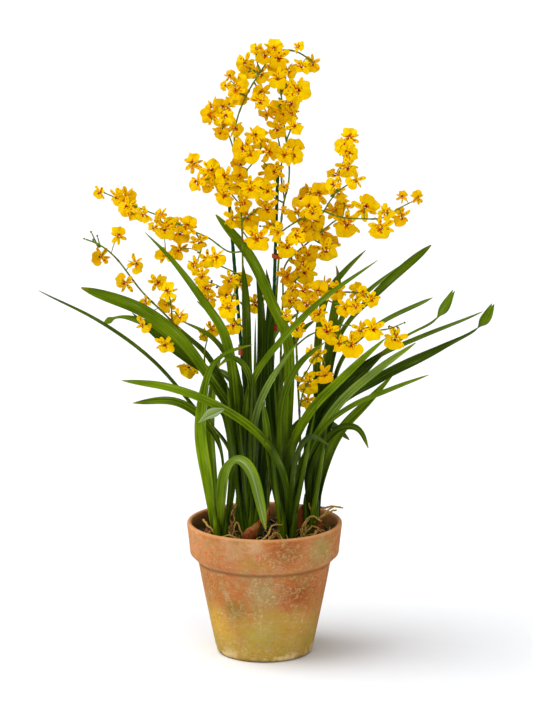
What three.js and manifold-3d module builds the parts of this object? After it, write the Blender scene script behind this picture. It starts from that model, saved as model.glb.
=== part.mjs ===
// An oncidium orchid in a clay pot, as a three.js scene graph. Millimetres, +Z up, origin at the
// centre of the pot's underside. Every leaf, stem and bloom is modelled; what grows as one piece
// is fused into one closed solid.
import * as THREE from "three";
import { mergeVertices } from "three/addons/utils/BufferGeometryUtils.js";
import Module from "manifold-3d";

const wasm = await Module();
wasm.setup();

// ---- Driving dimensions ----------------------------------------------------------------------
const gap = 0.4; // between pieces that touch
const potHeight = 163;
const rimRadius = 95;
const rimBandHeight = 39;
const bandFootRadius = 90;
const neckRadius = 81.2;
const baseRadius = 59;
const wall = 7.5;
const floorThickness = 9.5;
const drainRadius = 9;
const potSides = 24;
const soilTop = 145;
const rootDepth = 24; // how far stems and bulb clumps reach down into the medium
const stakeRadius = 2.25;
const stakeFoot = 40;
const stemRadius = 1.7;
const twigRadius = 1.3;
const pedicelRadius = 0.6;
const bladeThickness = 1.5; // at the midrib
const rootRadius = 1.5;

// Leaves, stems and blooms are laid out as in an elevation drawing: x and z on the plant's middle
// plane, and a depth. A point slides along its line of sight from this eye point to its depth.
const eye = new THREE.Vector3(2.4, -3600, 1100);
function at(x, z, depth) {
  const scale = 1 + depth / -eye.y;
  return new THREE.Vector3(eye.x + (x - eye.x) * scale, depth, eye.z + (z - eye.z) * scale);
}

// ---- Layout -----------------------------------------------------------------------------------
// Bulb clumps: where each stands in the medium, its foot radius, its bulbs as [x, y, height,
// radius] and its aerial roots as routes of [x, y, z].
const clumps = {
  left: {
    x: -53,
    y: -26,
    radius: 13,
    bulbs: [
      [-53, -27, 38, 9],
      [-46, -20, 30, 7],
    ],
    roots: [
      [[-56, -28, 147], [-66, -30, 151], [-73, -24, 158], [-78, -10, 163]],
    ],
  },
  middle: {
    x: -20,
    y: -2,
    radius: 14,
    bulbs: [
      [-20, -4, 40, 10],
      [-11, -4, 34, 8],
      [-28, 3, 30, 7],
    ],
    roots: [
      [[-24, -8, 147], [-33, -14, 156], [-38, -22, 151], [-30, -30, 148]],
    ],
  },
  centre: {
    x: 29,
    y: -14,
    radius: 14,
    bulbs: [
      [29, -16, 38, 9],
      [22, -10, 32, 7],
    ],
    roots: [
      [[24, -18, 147], [14, -20, 155], [6, -16, 150], [0, -24, 148]],
    ],
  },
  right: {
    x: 54,
    y: 14,
    radius: 14,
    bulbs: [
      [54, 13, 38, 9],
      [47, 20, 32, 7],
      [60, 8, 30, 7],
    ],
    roots: [
      [[58, 12, 147], [68, 14, 163], [80, 16, 174], [93, 20, 176]],
      [[60, 6, 147], [66, -2, 158], [76, -4, 170], [88, -2, 172]],
    ],
  },
  back: {
    x: -10,
    y: 54,
    radius: 13,
    bulbs: [
      [-10, 54, 38, 9],
      [-3, 50, 30, 7],
    ],
    roots: [
    ],
  },
};

// Leaves: clump, width, face angle at root and tip, depth at root and tip, and the route as
// [x, z] from above the bulb to the tip.
const leaves = [
  ["left", 12, 22, 22, -22, 40, [[-41, 245], [-79, 295], [-131, 358], [-194, 406], [-272, 448]]],
  ["left", 12, 60, 60, -24, -5, [[-53, 251], [-72, 287], [-92, 304], [-113, 312], [-160, 309]]],
  ["left", 13, 75, 75, -30, -52, [[-69, 213], [-77, 276], [-71, 334]]],
  ["left", 12, 60, 60, -34, -120, [[-52, 188], [-47, 225], [-33, 240], [-18, 227], [2, 150]]],
  ["left", 12, 70, 70, -14, 110, [[-61, 213], [-65, 276], [-62, 331], [-52, 372]]],
  ["left", 11, 70, 70, -34, -62, [[-39, 226], [-44, 282], [-53, 302], [-79, 287]]],
  ["middle", 17, 85, 85, -8, -30, [[-30, 276], [-66, 340], [-102, 389], [-146, 423], [-221, 451]]],
  ["middle", 13, 70, 70, 8, 6, [[-32, 288], [-60, 340], [-96, 366], [-126, 389], [-160, 421]]],
  ["middle", 13, 80, 80, -12, -62, [[-33, 276], [-47, 390], [-74, 435], [-112, 486], [-144, 519]]],
  ["middle", 10, 30, 80, 16, 62, [[-36, 294], [-90, 366], [-137, 404], [-173, 415], [-194, 407]]],
  ["middle", 11, 35, 35, 18, 52, [[-34, 288], [-69, 367], [-90, 388], [-119, 417]]],
  ["middle", 11, 35, 35, -2, -2, [[-27, 276], [-44, 362], [-65, 391], [-100, 410]]],
  ["middle", 12, 60, 60, -10, -70, [[-16, 276], [-20, 347], [-40, 366], [-57, 352]]],
  ["middle", 12, 75, 75, -16, -58, [[-25, 263], [-15, 335], [21, 387], [68, 435], [137, 485]]],
  ["middle", 12, 75, 75, 0, 4, [[-18, 263], [-21, 362], [-22, 435], [-26, 482]]],
  ["middle", 13, 65, 65, 6, 32, [[-10, 263], [-3, 362], [-4, 429], [-10, 470]]],
  ["middle", 12, 70, 70, -14, -66, [[-15, 238], [-10, 294], [7, 336], [40, 384]]],
  ["centre", 13, 80, 80, -24, -96, [[24, 216], [-3, 266], [-53, 304], [-113, 328], [-173, 337]]],
  ["centre", 14, 80, 80, -14, 24, [[27, 263], [27, 389], [10, 429], [-17, 488], [-59, 540]]],
  ["centre", 12, 60, 60, -20, -44, [[35, 201], [50, 241], [91, 309], [139, 352], [183, 384]]],
  ["centre", 10, 30, 30, -18, -78, [[43, 213], [67, 273], [103, 304], [151, 325], [199, 344]]],
  ["centre", 12, 75, 75, -12, -28, [[31, 245], [55, 298], [91, 337], [129, 374], [147, 390]]],
  ["centre", 12, 60, 60, -26, -64, [[19, 251], [24, 319], [43, 358], [74, 385]]],
  ["centre", 11, 65, 65, -26, -70, [[9, 226], [1, 288], [-3, 313]]],
  ["centre", 13, 80, 80, 4, 18, [[9, 276], [4, 374], [7, 435], [2, 474]]],
  ["centre", 12, 55, 55, -30, -172, [[33, 201], [41, 248], [57, 268], [79, 256]]],
  ["right", 14, 85, 85, 16, 34, [[63, 263], [73, 337], [83, 415], [89, 462], [85, 479]]],
  ["right", 11, 70, 70, 14, 62, [[65, 276], [64, 374], [74, 440], [99, 474], [122, 497]]],
  ["right", 14, 80, 80, 22, 30, [[69, 282], [91, 393], [138, 448], [168, 476], [200, 503]]],
  ["right", 11, 65, 65, 26, 96, [[74, 313], [93, 413], [126, 448], [172, 484]]],
  ["right", 12, 35, -60, 18, 70, [[77, 300], [97, 368], [139, 407], [186, 431], [203, 439]]],
  ["right", 13, 70, -80, 12, 14, [[79, 288], [127, 356], [168, 390], [207, 413], [228, 449]]],
  ["right", 10, 28, 28, 22, 100, [[84, 313], [128, 360], [186, 389], [238, 411], [263, 422]]],
  ["right", 15, 75, -80, 6, -36, [[79, 297], [139, 340], [212, 377], [259, 404], [275, 433]]],
  ["right", 13, 75, 75, 8, -10, [[70, 220], [91, 273], [124, 310], [156, 345]]],
  ["right", 13, 65, 65, 0, -70, [[61, 238], [89, 277], [113, 278], [126, 252]]],
  ["right", 15, 75, 75, 10, 10, [[57, 276], [85, 324], [120, 355], [146, 374]]],
  ["right", 12, 60, 60, 20, 110, [[72, 263], [86, 323], [105, 349], [129, 374]]],
  ["back", 14, 60, 60, 42, 120, [[-3, 276], [-3, 350], [14, 399], [43, 421]]],
  ["back", 13, 50, 50, 40, 150, [[-18, 263], [-32, 325], [-51, 347], [-78, 350]]],
  ["back", 13, 70, 70, 44, 60, [[9, 276], [25, 362], [45, 399], [64, 413]]],
  ["back", 14, 40, 40, 46, 168, [[21, 251], [49, 288], [79, 282], [103, 263]]],
  ["back", 13, 60, 60, 40, 95, [[-22, 276], [-44, 374], [-61, 416], [-82, 435]]],
  ["back", 14, 30, 30, 48, 176, [[-3, 251], [-8, 282], [-18, 278], [-25, 256]]],
];

// Green stakes as straight rods, and the clips that hold flower stems to them.
const stakes = {
  left: { foot: [-9.6, 24, 138.2], top: [-42.5, 24, 552.9] },
  right: { foot: [2.4, 36, 135.0], top: [16.2, 36, 593.5] },
};
const ties = {
  left: { stake: "left", spray: "upper_left", z: 370, height: 12 },
  right_low: { stake: "right", spray: "upper_middle", z: 396, height: 8 },
  right_high: { stake: "right", spray: "upper_middle", z: 483, height: 5 },
};

// Flower sprays: the foot [x, y] in the medium, the main stem and its twigs as [x, z, depth], and
// the blooms as [x, z, visible lip width, direction the lip points: 0 down, 90 right].
const bloomScale = 0.8;
const sprays = {
  upper_left: {
    foot: [-7, 16],
    main: [
      [-19, 276, 17], [-25, 374, 18], [-26, 435, 18], [-26, 472, 17], [-28, 544, 4], [-35, 595, 6],
      [-34, 646, 8], [-23, 678, 8], [-5, 709, 6], [14, 733, 0], [35, 734, -8], [56, 723, -16],
    ],
    twigs: [
      [[-36, 610, 6], [-40, 628, 0], [-50, 650, -8], [-57, 666, -16]],
      [[-34, 578, 5], [-50, 587, 14], [-69, 593, 24], [-86, 598, 34]],
      [[-50, 587, 14], [-70, 581, 6], [-83, 579, 0]],
      [[-29, 550, 4], [-39, 563, -14], [-46, 569, -24]],
      [[-27, 530, 4], [-10, 543, 16], [3, 548, 24]],
      [[-29, 557, 4], [-23, 589, -8], [-14, 601, -14], [-4, 622, -16], [-12, 636, -14]],
      [[-23, 589, -8], [-17, 576, -22], [-15, 564, -28]],
      [[-8, 707, 6], [-16, 714, 18], [-23, 721, 26]],
      [[-5, 709, 6], [-10, 728, -6], [-8, 739, -12]],
      [[-22, 681, 8], [-30, 685, -4], [-36, 695, -12]],
      [[-12, 697, 8], [-5, 685, 22], [-3, 675, 30]],
      [[-26, 518, 2], [-17, 508, -18], [-10, 505, -26]],
      [
        [-27, 490, 1], [-42, 494, 8], [-67, 511, 16], [-85, 519, 18], [-107, 530, 14], [-132, 540, 6],
        [-152, 548, 0], [-174, 558, -10], [-195, 567, -16],
      ],
      [[-82, 518, 18], [-75, 503, 30], [-79, 486, 38]],
      [[-127, 538, 7], [-120, 525, -10]],
      [[-152, 548, 0], [-158, 540, 14]],
      [[-26, 460, 0], [-42, 472, 10], [-60, 479, 26], [-78, 478, 36]],
      [[-26, 426, -2], [-44, 445, 16], [-58, 454, 28], [-71, 459, 34]],
      [[-26, 399, -3], [-35, 409, -20], [-41, 428, -28], [-34, 450, -30]],
    ],
    blooms: [
      [-9, 737, 17, -90], [11, 736, 28, 170], [1, 730, 27, -30], [17, 727, 32, 0], [-22, 721, 28, -70],
      [-17, 712, 28, -30], [11, 719, 26, 0], [-4, 708, 28, 20], [-31, 695, 28, 100], [-32, 688, 22, -60],
      [-28, 681, 26, 0], [-41, 704, 15, -160], [-45, 693, 15, -100], [44, 717, 24, 0], [57, 720, 23, 0],
      [40, 739, 15, 110], [-3, 685, 26, -90], [-6, 675, 26, 30], [-61, 668, 19, -60], [-50, 666, 22, 180],
      [-43, 669, 19, 150], [-62, 658, 30, -85], [-48, 657, 22, 90], [-50, 644, 26, 0], [-52, 638, 22, -10],
      [-36, 643, 26, 60], [-23, 619, 37, -80], [-17, 613, 26, 45], [-11, 633, 26, 150], [-4, 631, 22, -45],
      [-29, 597, 26, 180], [-85, 600, 24, 180], [-80, 579, 22, -60], [-64, 591, 32, 140], [-59, 582, 28, -100],
      [-66, 576, 22, 0], [-46, 585, 28, -90], [-48, 575, 28, -70], [-30, 584, 28, 170], [-29, 576, 32, -10],
      [-47, 563, 30, -20], [-17, 572, 35, 0], [-26, 554, 22, 60], [-21, 537, 41, 0], [-38, 535, 26, 0],
      [3, 547, 34, 10], [-9, 512, 38, 0], [-196, 566, 17, -30], [-176, 561, 23, 0], [-165, 560, 28, 80],
      [-163, 549, 22, -60], [-158, 543, 23, 0], [-144, 540, 21, 0], [-123, 540, 18, -90], [-119, 523, 37, 0],
      [-131, 523, 18, -90], [-110, 525, 26, 180], [-92, 525, 28, 160], [-101, 518, 32, 10], [-101, 497, 27, -50],
      [-78, 507, 26, 0], [-83, 478, 23, -50], [-68, 486, 26, 0], [-59, 488, 23, 60], [-75, 465, 26, 0],
      [-69, 451, 27, -60], [-68, 438, 28, 0], [-42, 461, 26, 0], [-29, 456, 32, 150], [-45, 440, 28, -150],
      [-43, 428, 32, 0], [-37, 406, 26, 0], [-11, 432, 28, 0], [-118, 489, 19, -90],
    ],
  },
  upper_middle: {
    foot: [4, 25],
    main: [
      [10, 344, 28], [12, 401, 30], [14, 435, 30], [17, 486, 30], [19, 518, 28], [22, 548, 24],
      [29, 581, 26], [29, 604, 28], [24, 640, 28], [21, 672, 24], [18, 695, 20],
    ],
    twigs: [
      [[21, 682, 22], [25, 700, 12], [23, 714, 4], [17, 723, -4]],
      [[24, 558, 24], [20, 581, 34], [20, 610, 40], [14, 640, 42]],
      [[27, 628, 28], [34, 644, 16], [42, 641, 8]],
      [[22, 666, 25], [30, 681, 14], [38, 689, 8]],
      [[21, 672, 24], [12, 666, 34], [4, 661, 40]],
      [[20, 598, 38], [9, 593, 48], [-1, 602, 54]],
      [[23, 553, 24], [10, 560, 24], [-3, 569, 34]],
      [[17, 513, 22], [7, 525, 26], [-3, 525, 30]],
      [
        [19, 516, 22], [34, 528, 16], [47, 534, 10], [64, 535, 4], [77, 554, 4], [85, 566, 8],
        [90, 593, 16], [96, 608, 22], [100, 626, 26],
      ],
      [[82, 560, 6], [96, 573, -8], [106, 579, -14]],
      [
        [67, 541, 4], [91, 536, -6], [116, 534, -12], [140, 535, -14], [161, 547, -18],
        [183, 558, -22],
      ],
      [[57, 535, 7], [59, 550, 22], [59, 565, 30]],
    ],
    blooms: [
      [27, 710, 26, 90], [16, 703, 30, 0], [38, 688, 37, 95], [27, 691, 22, -90], [15, 662, 32, 175],
      [22, 661, 28, 0], [29, 672, 32, 80], [31, 661, 22, 30], [4, 659, 19, -80], [15, 643, 32, 10],
      [35, 645, 22, 60], [4, 615, 32, 90], [35, 616, 32, 170], [33, 610, 28, 90], [24, 612, 26, 0],
      [13, 591, 28, -60], [3, 590, 26, 160], [-5, 569, 35, 165], [4, 569, 28, 0], [23, 573, 16, 0],
      [23, 544, 15, 20], [10, 525, 26, 60], [15, 519, 19, 0], [101, 631, 27, 180], [96, 621, 26, -95],
      [99, 613, 27, 95], [98, 597, 32, 20], [109, 581, 23, -30], [85, 587, 19, -90], [83, 575, 19, -90],
      [87, 566, 19, 30], [96, 550, 19, -150], [64, 563, 32, 170], [53, 564, 27, -100], [54, 547, 34, 175],
      [45, 557, 19, -90], [39, 542, 22, -90], [57, 543, 27, 0], [83, 544, 28, 90], [119, 547, 38, 130],
      [138, 524, 37, 0], [144, 542, 22, 60], [164, 537, 24, 0], [164, 560, 16, 180], [182, 559, 18, 180],
    ],
  },
  upper_right: {
    foot: [17, 42],
    main: [
      [19, 344, 40], [22, 435, 42], [25, 478, 44], [46, 500, 48], [70, 520, 54], [90, 534, 58],
      [104, 530, 60],
    ],
    twigs: [
      [[32, 486, 45], [27, 496, 60], [26, 505, 66]],
      [[46, 500, 48], [42, 513, 34], [47, 525, 26]],
      [[56, 511, 51], [72, 501, 66], [81, 494, 74]],
      [[23, 460, 43], [35, 470, 56], [46, 477, 62]],
      [[22, 440, 42], [33, 455, 30], [40, 462, 22]],
    ],
    blooms: [
      [47, 536, 26, 0], [61, 530, 26, 90], [46, 519, 32, 10], [39, 514, 22, -90], [57, 520, 23, 20],
      [69, 518, 22, 0], [98, 529, 39, 0], [72, 497, 37, 20], [77, 505, 28, 150], [51, 491, 28, 80],
      [45, 480, 37, 90], [48, 471, 38, 0], [26, 466, 28, 30], [27, 501, 32, 0],
    ],
  },
  lower_left: {
    foot: [-36, 24],
    main: [
      [-32, 226, 22], [-42, 282, 19], [-58, 328, 19], [-82, 372, 16], [-113, 411, 10],
      [-147, 446, -4], [-179, 488, -14], [-198, 503, -18], [-213, 509, -20],
    ],
    twigs: [
      [[-111, 409, 11], [-112, 429, 6], [-116, 448, 2]],
      [[-198, 503, -18], [-206, 516, -22]],
      [[-195, 501, -18], [-199, 511, -14]],
      [[-72, 355, 17], [-72, 372, 16], [-69, 387, 14]],
    ],
    blooms: [
      [-174, 513, 23, 180], [-195, 488, 26, -90], [-155, 480, 19, 60], [-166, 456, 26, -90], [-129, 457, 26, 90],
      [-142, 432, 17, -60], [-116, 445, 23, 180], [-116, 431, 26, -60], [-147, 406, 19, 0], [-110, 405, 24, 0],
      [-104, 415, 19, 60], [-120, 382, 27, 20], [-90, 355, 32, -30], [-73, 394, 17, 0], [-64, 401, 21, 20],
    ],
  },
  lower_right: {
    foot: [38, 27],
    main: [
      [43, 263, 24], [39, 362, 20], [39, 417, 16], [50, 439, 14], [69, 443, 4], [92, 445, -10],
      [112, 444, -20], [128, 438, -26],
    ],
    twigs: [
      [[39, 421, 16], [32, 432, 26], [26, 440, 30]],
      [[56, 440, 13], [64, 452, 24], [75, 457, 32]],
      [
        [39, 380, 19], [55, 393, -8], [74, 400, -24], [99, 405, -30], [124, 399, -36], [148, 400, -42],
        [166, 407, -48],
      ],
      [[83, 402, -26], [92, 387, -40], [99, 380, -46]],
      [[64, 442, 6], [83, 432, -12], [107, 429, -28]],
      [[39, 399, 17], [49, 413, -4], [57, 423, -18]],
      [[42, 300, 23], [46, 320, -14], [52, 334, -36]],
      [[40, 331, 21], [52, 350, -12], [64, 367, -34], [72, 360, -40], [72, 347, -44]],
    ],
    blooms: [
      [33, 434, 28, -80], [26, 418, 18, 0], [33, 449, 22, 0], [47, 448, 26, 0], [52, 432, 35, -20],
      [64, 445, 32, 175], [72, 455, 19, 0], [39, 401, 26, -10], [64, 420, 26, 20], [87, 448, 26, 0],
      [110, 445, 19, 180], [117, 444, 17, 170], [128, 437, 24, 30], [97, 427, 26, -20], [109, 429, 26, 20],
      [76, 399, 35, -30], [90, 384, 23, 0], [104, 382, 37, 0], [115, 400, 28, 10], [131, 401, 32, 0],
      [158, 389, 34, -20], [51, 335, 35, 10], [72, 345, 28, 20], [64, 369, 22, -20], [52, 313, 19, -10],
      [56, 374, 16, -60],
    ],
  },
};

// ---- Solids ----------------------------------------------------------------------------------
// A repeatable random number from 0 to 1.
let seed = 20611;
function random() {
  seed = (Math.imul(seed, 1664525) + 1013904223) >>> 0;
  return seed / 4294967296;
}

function solidOf(geometry) {
  const bare = geometry.index ? geometry.toNonIndexed() : geometry.clone();
  for (const name of ["normal", "uv"]) bare.deleteAttribute(name);
  const merged = mergeVertices(bare, 1e-4);
  const mesh = { numProp: 3, vertProperties: merged.attributes.position.array };
  mesh.triVerts = new Uint32Array(merged.index.array);
  return new wasm.Manifold(new wasm.Mesh(mesh));
}

// The same solid with its faces turned outwards, if they point in.
function outward(geometry) {
  const solid = solidOf(geometry);
  if (solid.volume() > 0) return solid;
  return solidOf(geometry.setIndex([...geometry.index.array].reverse()));
}

function geometryOf(solid) {
  const { vertProperties, triVerts } = solid.getMesh();
  const geometry = new THREE.BufferGeometry();
  geometry.setAttribute("position", new THREE.BufferAttribute(vertProperties.slice(), 3));
  geometry.setIndex(new THREE.BufferAttribute(triVerts.slice(), 1));
  geometry.computeVertexNormals();
  return geometry;
}

// Joins solids that grow together, and fills the closed hollows between crossing blades.
function fuse(solids) {
  const shells = solids.reduce((joined, solid) => joined.add(solid)).decompose();
  return wasm.Manifold.compose(shells.filter((shell) => shell.volume() > 0));
}

// A closed skin over a row of rings that all have the same number of points.
function loft(rings) {
  const count = rings[0].length;
  const faces = [];
  for (let i = 0; i + 1 < rings.length; i++) {
    for (let j = 0; j < count; j++) {
      const a = i * count + j;
      const b = i * count + ((j + 1) % count);
      faces.push(a, b, b + count, a, b + count, a + count);
    }
  }
  const last = (rings.length - 1) * count;
  for (let j = 1; j + 1 < count; j++) {
    faces.push(0, j + 1, j, last, last + j, last + j + 1);
  }
  const geometry = new THREE.BufferGeometry().setFromPoints(rings.flat());
  geometry.setIndex(faces);
  return outward(geometry);
}

const smoothCurve = (points) => new THREE.CatmullRomCurve3(points, false, "centripetal");

// A round stem along a curve, tapering from one radius to the other.
function stem(curve, startRadius, endRadius, sides, steps) {
  const frames = curve.computeFrenetFrames(steps, false);
  const rings = [];
  for (let i = 0; i <= steps; i++) {
    const radius = THREE.MathUtils.lerp(startRadius, endRadius, i / steps);
    const centre = curve.getPointAt(i / steps);
    const ring = [];
    for (let j = 0; j < sides; j++) {
      const angle = (2 * Math.PI * j) / sides;
      const side = frames.normals[i].clone().multiplyScalar(Math.cos(angle) * radius);
      side.addScaledVector(frames.binormals[i], Math.sin(angle) * radius);
      ring.push(side.add(centre));
    }
    rings.push(ring);
  }
  return loft(rings);
}

// An upright drum: a bulb clump's buried foot, or the plain hole that it stands in.
function drum(x, y, low, high, radius, sides) {
  const geometry = new THREE.CylinderGeometry(radius, radius, high - low, sides);
  geometry.rotateX(Math.PI / 2).translate(x, y, (low + high) / 2);
  return solidOf(geometry);
}

// ---- The pot and its medium ------------------------------------------------------------------
const bandFoot = potHeight - rimBandHeight;
const innerWall = [
  [89, potHeight - 1.5],
  [84.5, bandFoot - 1],
  [neckRadius - wall, bandFoot - 10],
  [baseRadius - wall, floorThickness],
];

function potShell() {
  const profile = [
    [drainRadius, 0],
    [baseRadius - 2, 0],
    [baseRadius, 2],
    [neckRadius, bandFoot - 8],
    [bandFootRadius, bandFoot],
    [rimRadius, potHeight - 2],
    [rimRadius - 1.5, potHeight],
    [90.5, potHeight],
    ...innerWall,
    [drainRadius, floorThickness],
    [drainRadius, 0],
  ];
  const points = profile.map(([radius, z]) => new THREE.Vector2(radius, z));
  return solidOf(new THREE.LatheGeometry(points, potSides).rotateX(Math.PI / 2));
}

// Coarse bark: the top is raised in lumps by a formula.
function barkLumps(x, y) {
  return 1.7 * Math.sin(0.16 * x + 1) * Math.cos(0.19 * y) + 0.9 * Math.sin(0.37 * y + 0.21 * x);
}

function mediumBlock() {
  const [rimEdge, shoulder, neck, foot] = innerWall;
  const reach = (soilTop - shoulder[1]) / (rimEdge[1] - shoulder[1]);
  const topRadius = shoulder[0] + (rimEdge[0] - shoulder[0]) * reach - 1;
  const profile = [
    [0, foot[1] + gap],
    [foot[0] - gap, foot[1] + gap],
    [neck[0] - gap, neck[1] + gap],
    [shoulder[0] - gap, shoulder[1] + gap],
    [topRadius, soilTop - 6],
    [topRadius * 0.7, soilTop - 3],
    [topRadius * 0.35, soilTop - 3],
    [0, soilTop - 3],
  ];
  const points = profile.map(([radius, z]) => new THREE.Vector2(radius, z));
  const geometry = new THREE.LatheGeometry(points, potSides).rotateX(Math.PI / 2);
  const corner = geometry.attributes.position;
  for (let i = 0; i < corner.count; i++) {
    if (corner.getZ(i) > soilTop - 5) {
      corner.setZ(i, corner.getZ(i) + barkLumps(corner.getX(i), corner.getY(i)));
    }
  }
  return solidOf(geometry);
}

// ---- Leaves ----------------------------------------------------------------------------------
// A strap leaf: a V-folded blade, narrow where it clasps the bulb, widest past the middle and
// pointed. `face` turns its upper side from the sky (0) towards the front (90).
const turnPerStep = 32; // degrees

function bladeSteps(curve) {
  let turn = 0;
  for (let i = 0; i < 20; i++) {
    turn += curve.getTangentAt(i / 20).angleTo(curve.getTangentAt((i + 1) / 20));
  }
  return 4 + Math.min(5, Math.round(THREE.MathUtils.radToDeg(turn) / turnPerStep));
}

function leafCurve(leaf) {
  const [clumpName, , , , depthRoot, depthTip, route] = leaf;
  const clump = clumps[clumpName];
  const across = (route[0][0] - clump.x) * 0.35;
  const offset = new THREE.Vector2(across, depthRoot - clump.y).clampLength(0, clump.radius - 5);
  const points = [new THREE.Vector3(clump.x + offset.x, clump.y + offset.y, soilTop + 1)];
  route.forEach(([x, z], i) => {
    const share = (i + 1) / route.length;
    points.push(at(x, z, THREE.MathUtils.lerp(depthRoot, depthTip, share)));
  });
  return smoothCurve(points);
}

function bladeWidth(share) {
  const root = 0.55 + 0.45 * THREE.MathUtils.smoothstep(share, 0.05, 0.45);
  const tip = share < 0.6 ? 1 : Math.sqrt(1 - ((share - 0.6) / 0.41) ** 2);
  return root * tip;
}

function blade(leaf) {
  const [, width, faceRoot, faceTip, , , route] = leaf;
  const curve = leafCurve(leaf);
  const lean = Math.sign(curve.points.at(-1).x - curve.points[0].x);
  const rings = [];
  const steps = bladeSteps(curve);
  for (let i = 0; i <= steps; i++) {
    const share = i / steps;
    const centre = curve.getPointAt(share);
    const along = curve.getTangentAt(share);
    const back = new THREE.Vector3(0, 1, 0);
    const upper = new THREE.Vector3().crossVectors(along, back).normalize();
    upper.multiplyScalar(lean);
    const front = new THREE.Vector3().crossVectors(along, upper).normalize();
    if (front.y > 0) front.negate();
    const twist = THREE.MathUtils.smoothstep(share, 0.68, 0.95);
    const face = THREE.MathUtils.degToRad(THREE.MathUtils.lerp(faceRoot, faceTip, twist));
    const normal = upper.multiplyScalar(Math.cos(face)).addScaledVector(front, Math.sin(face));
    const across = new THREE.Vector3().crossVectors(along, normal);
    const half = Math.max(0.6, (width / 2) * bladeWidth(share));
    const fold = half * THREE.MathUtils.lerp(0.8, 0.3, Math.min(1, share * 2));
    const rib = (bladeThickness / 2) * (1 - 0.4 * share);
    const point = (side, lift) =>
      centre.clone().addScaledVector(across, side).addScaledVector(normal, lift);
    rings.push([point(-half, fold * 0.5), point(0, -fold * 0.5 - rib), point(half, fold * 0.5)]);
  }
  return loft(rings);
}

const bulbSides = 5;

// A pseudobulb: an upright, slightly flattened egg.
function bulb([x, y, height, radius]) {
  const shares = [0, 0.3, 0.7, 1];
  const widths = [0.7, 1, 0.7, 0.25];
  const rings = shares.map((share, i) => {
    const ring = [];
    for (let j = 0; j < bulbSides; j++) {
      const angle = (2 * Math.PI * j) / bulbSides;
      const r = radius * widths[i];
      const z = soilTop + 1 + height * share;
      ring.push(new THREE.Vector3(x + r * Math.cos(angle), y + 0.75 * r * Math.sin(angle), z));
    }
    return ring;
  });
  return loft(rings);
}

function shootClump(name) {
  const { x, y, radius, bulbs, roots } = clumps[name];
  const foot = drum(x, y, soilTop - rootDepth, soilTop + 3, radius, 8);
  const blades = leaves.filter((leaf) => leaf[0] === name).map(blade);
  const strands = roots.map((route) => {
    const points = route.map(([px, py, pz]) => new THREE.Vector3(px, py, pz));
    return stem(smoothCurve(points), rootRadius, rootRadius * 0.8, 4, route.length + 1);
  });
  return fuse([foot, ...bulbs.map(bulb), ...blades, ...strands]);
}

// ---- Stakes and ties -------------------------------------------------------------------------
function stakePoint(stake, z) {
  const share = (z - stake.foot[2]) / (stake.top[2] - stake.foot[2]);
  return new THREE.Vector3(...stake.foot).lerp(new THREE.Vector3(...stake.top), share);
}

function rod(stake, radius, low) {
  const foot = stakePoint(stake, low);
  const top = new THREE.Vector3(...stake.top);
  return stem(new THREE.LineCurve3(foot, top), radius, radius, 7, 1);
}

// The points on a stake and on the flower stem beside it that a clip holds together.
function tieEnds({ stake, spray, z }) {
  const curve = sprayCurves(sprays[spray])[0];
  const stemPoint = curve.getSpacedPoints(400).reduce((best, point) =>
    Math.abs(point.z - z) < Math.abs(best.z - z) ? point : best);
  return [stakePoint(stakes[stake], z), stemPoint];
}

// A soft clip: a flat band round both.
function tie(clip) {
  const { z, height } = clip;
  const [rodPoint, stemPoint] = tieEnds(clip);
  const between = new THREE.Vector2(stemPoint.x - rodPoint.x, stemPoint.y - rodPoint.y);
  const outline = (radius) => {
    const points = [];
    for (let i = 0; i < 10; i++) {
      const angle = (Math.PI * (i < 5 ? i : i - 1)) / 4 - Math.PI / 2;
      const middle = i < 5 ? between.length() : 0;
      points.push(new THREE.Vector2(middle + radius * Math.cos(angle), radius * Math.sin(angle)));
    }
    return points;
  };
  const band = new THREE.Shape(outline(stakeRadius + 1.9));
  band.holes.push(new THREE.Path(outline(stakeRadius + 0.7)));
  const geometry = new THREE.ExtrudeGeometry(band, { depth: height, bevelEnabled: false });
  geometry.rotateZ(between.angle()).translate(rodPoint.x, rodPoint.y, z - height / 2);
  return solidOf(geometry);
}

// ---- Flower sprays ---------------------------------------------------------------------------
function stemJoints(curve) {
  return curve.getSpacedPoints(Math.max(2, Math.round(curve.getLength() / stemStep)));
}

function nearestOn(polylines, point) {
  const found = polylines.flatMap((joints) => joints.slice(1).map((joint, i) =>
    new THREE.Line3(joints[i], joint).closestPointToPoint(point, true, new THREE.Vector3())));
  return found.reduce((a, b) => (b.distanceTo(point) < a.distanceTo(point) ? b : a));
}

// The main stem's curve, then the twigs', each of which starts on a stem before it.
function sprayCurves({ foot, main, twigs }) {
  const low = [soilTop - rootDepth + 2, soilTop + 8].map((z) => new THREE.Vector3(...foot, z));
  const curves = [smoothCurve([...low, ...main.map((point) => at(...point))])];
  for (const route of twigs) {
    const points = route.map((point) => at(...point));
    points[0] = nearestOn(curves.map(stemJoints), points[0]);
    curves.push(smoothCurve(points));
  }
  return curves;
}

// The bloom's outline, lip down, as shares of the lip's width: the lip, its waist, the side petal,
// and the upper sepal. The left half mirrors the right.
const bloomHalf = [
  [0.27, -0.66, -0.06],
  [0.52, -0.36, -0.02],
  [0.14, -0.07, 0.02],
  [0.4, 0.2, 0.08],
  [0.08, 0.1, 0.02],
];
const bloomCrest = [0, 0.42, 0.06];
const mirrored = bloomHalf.map(([x, y, z]) => [-x, y, z]).reverse();
const bloomOutline = [...bloomHalf, bloomCrest, ...mirrored];

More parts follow.
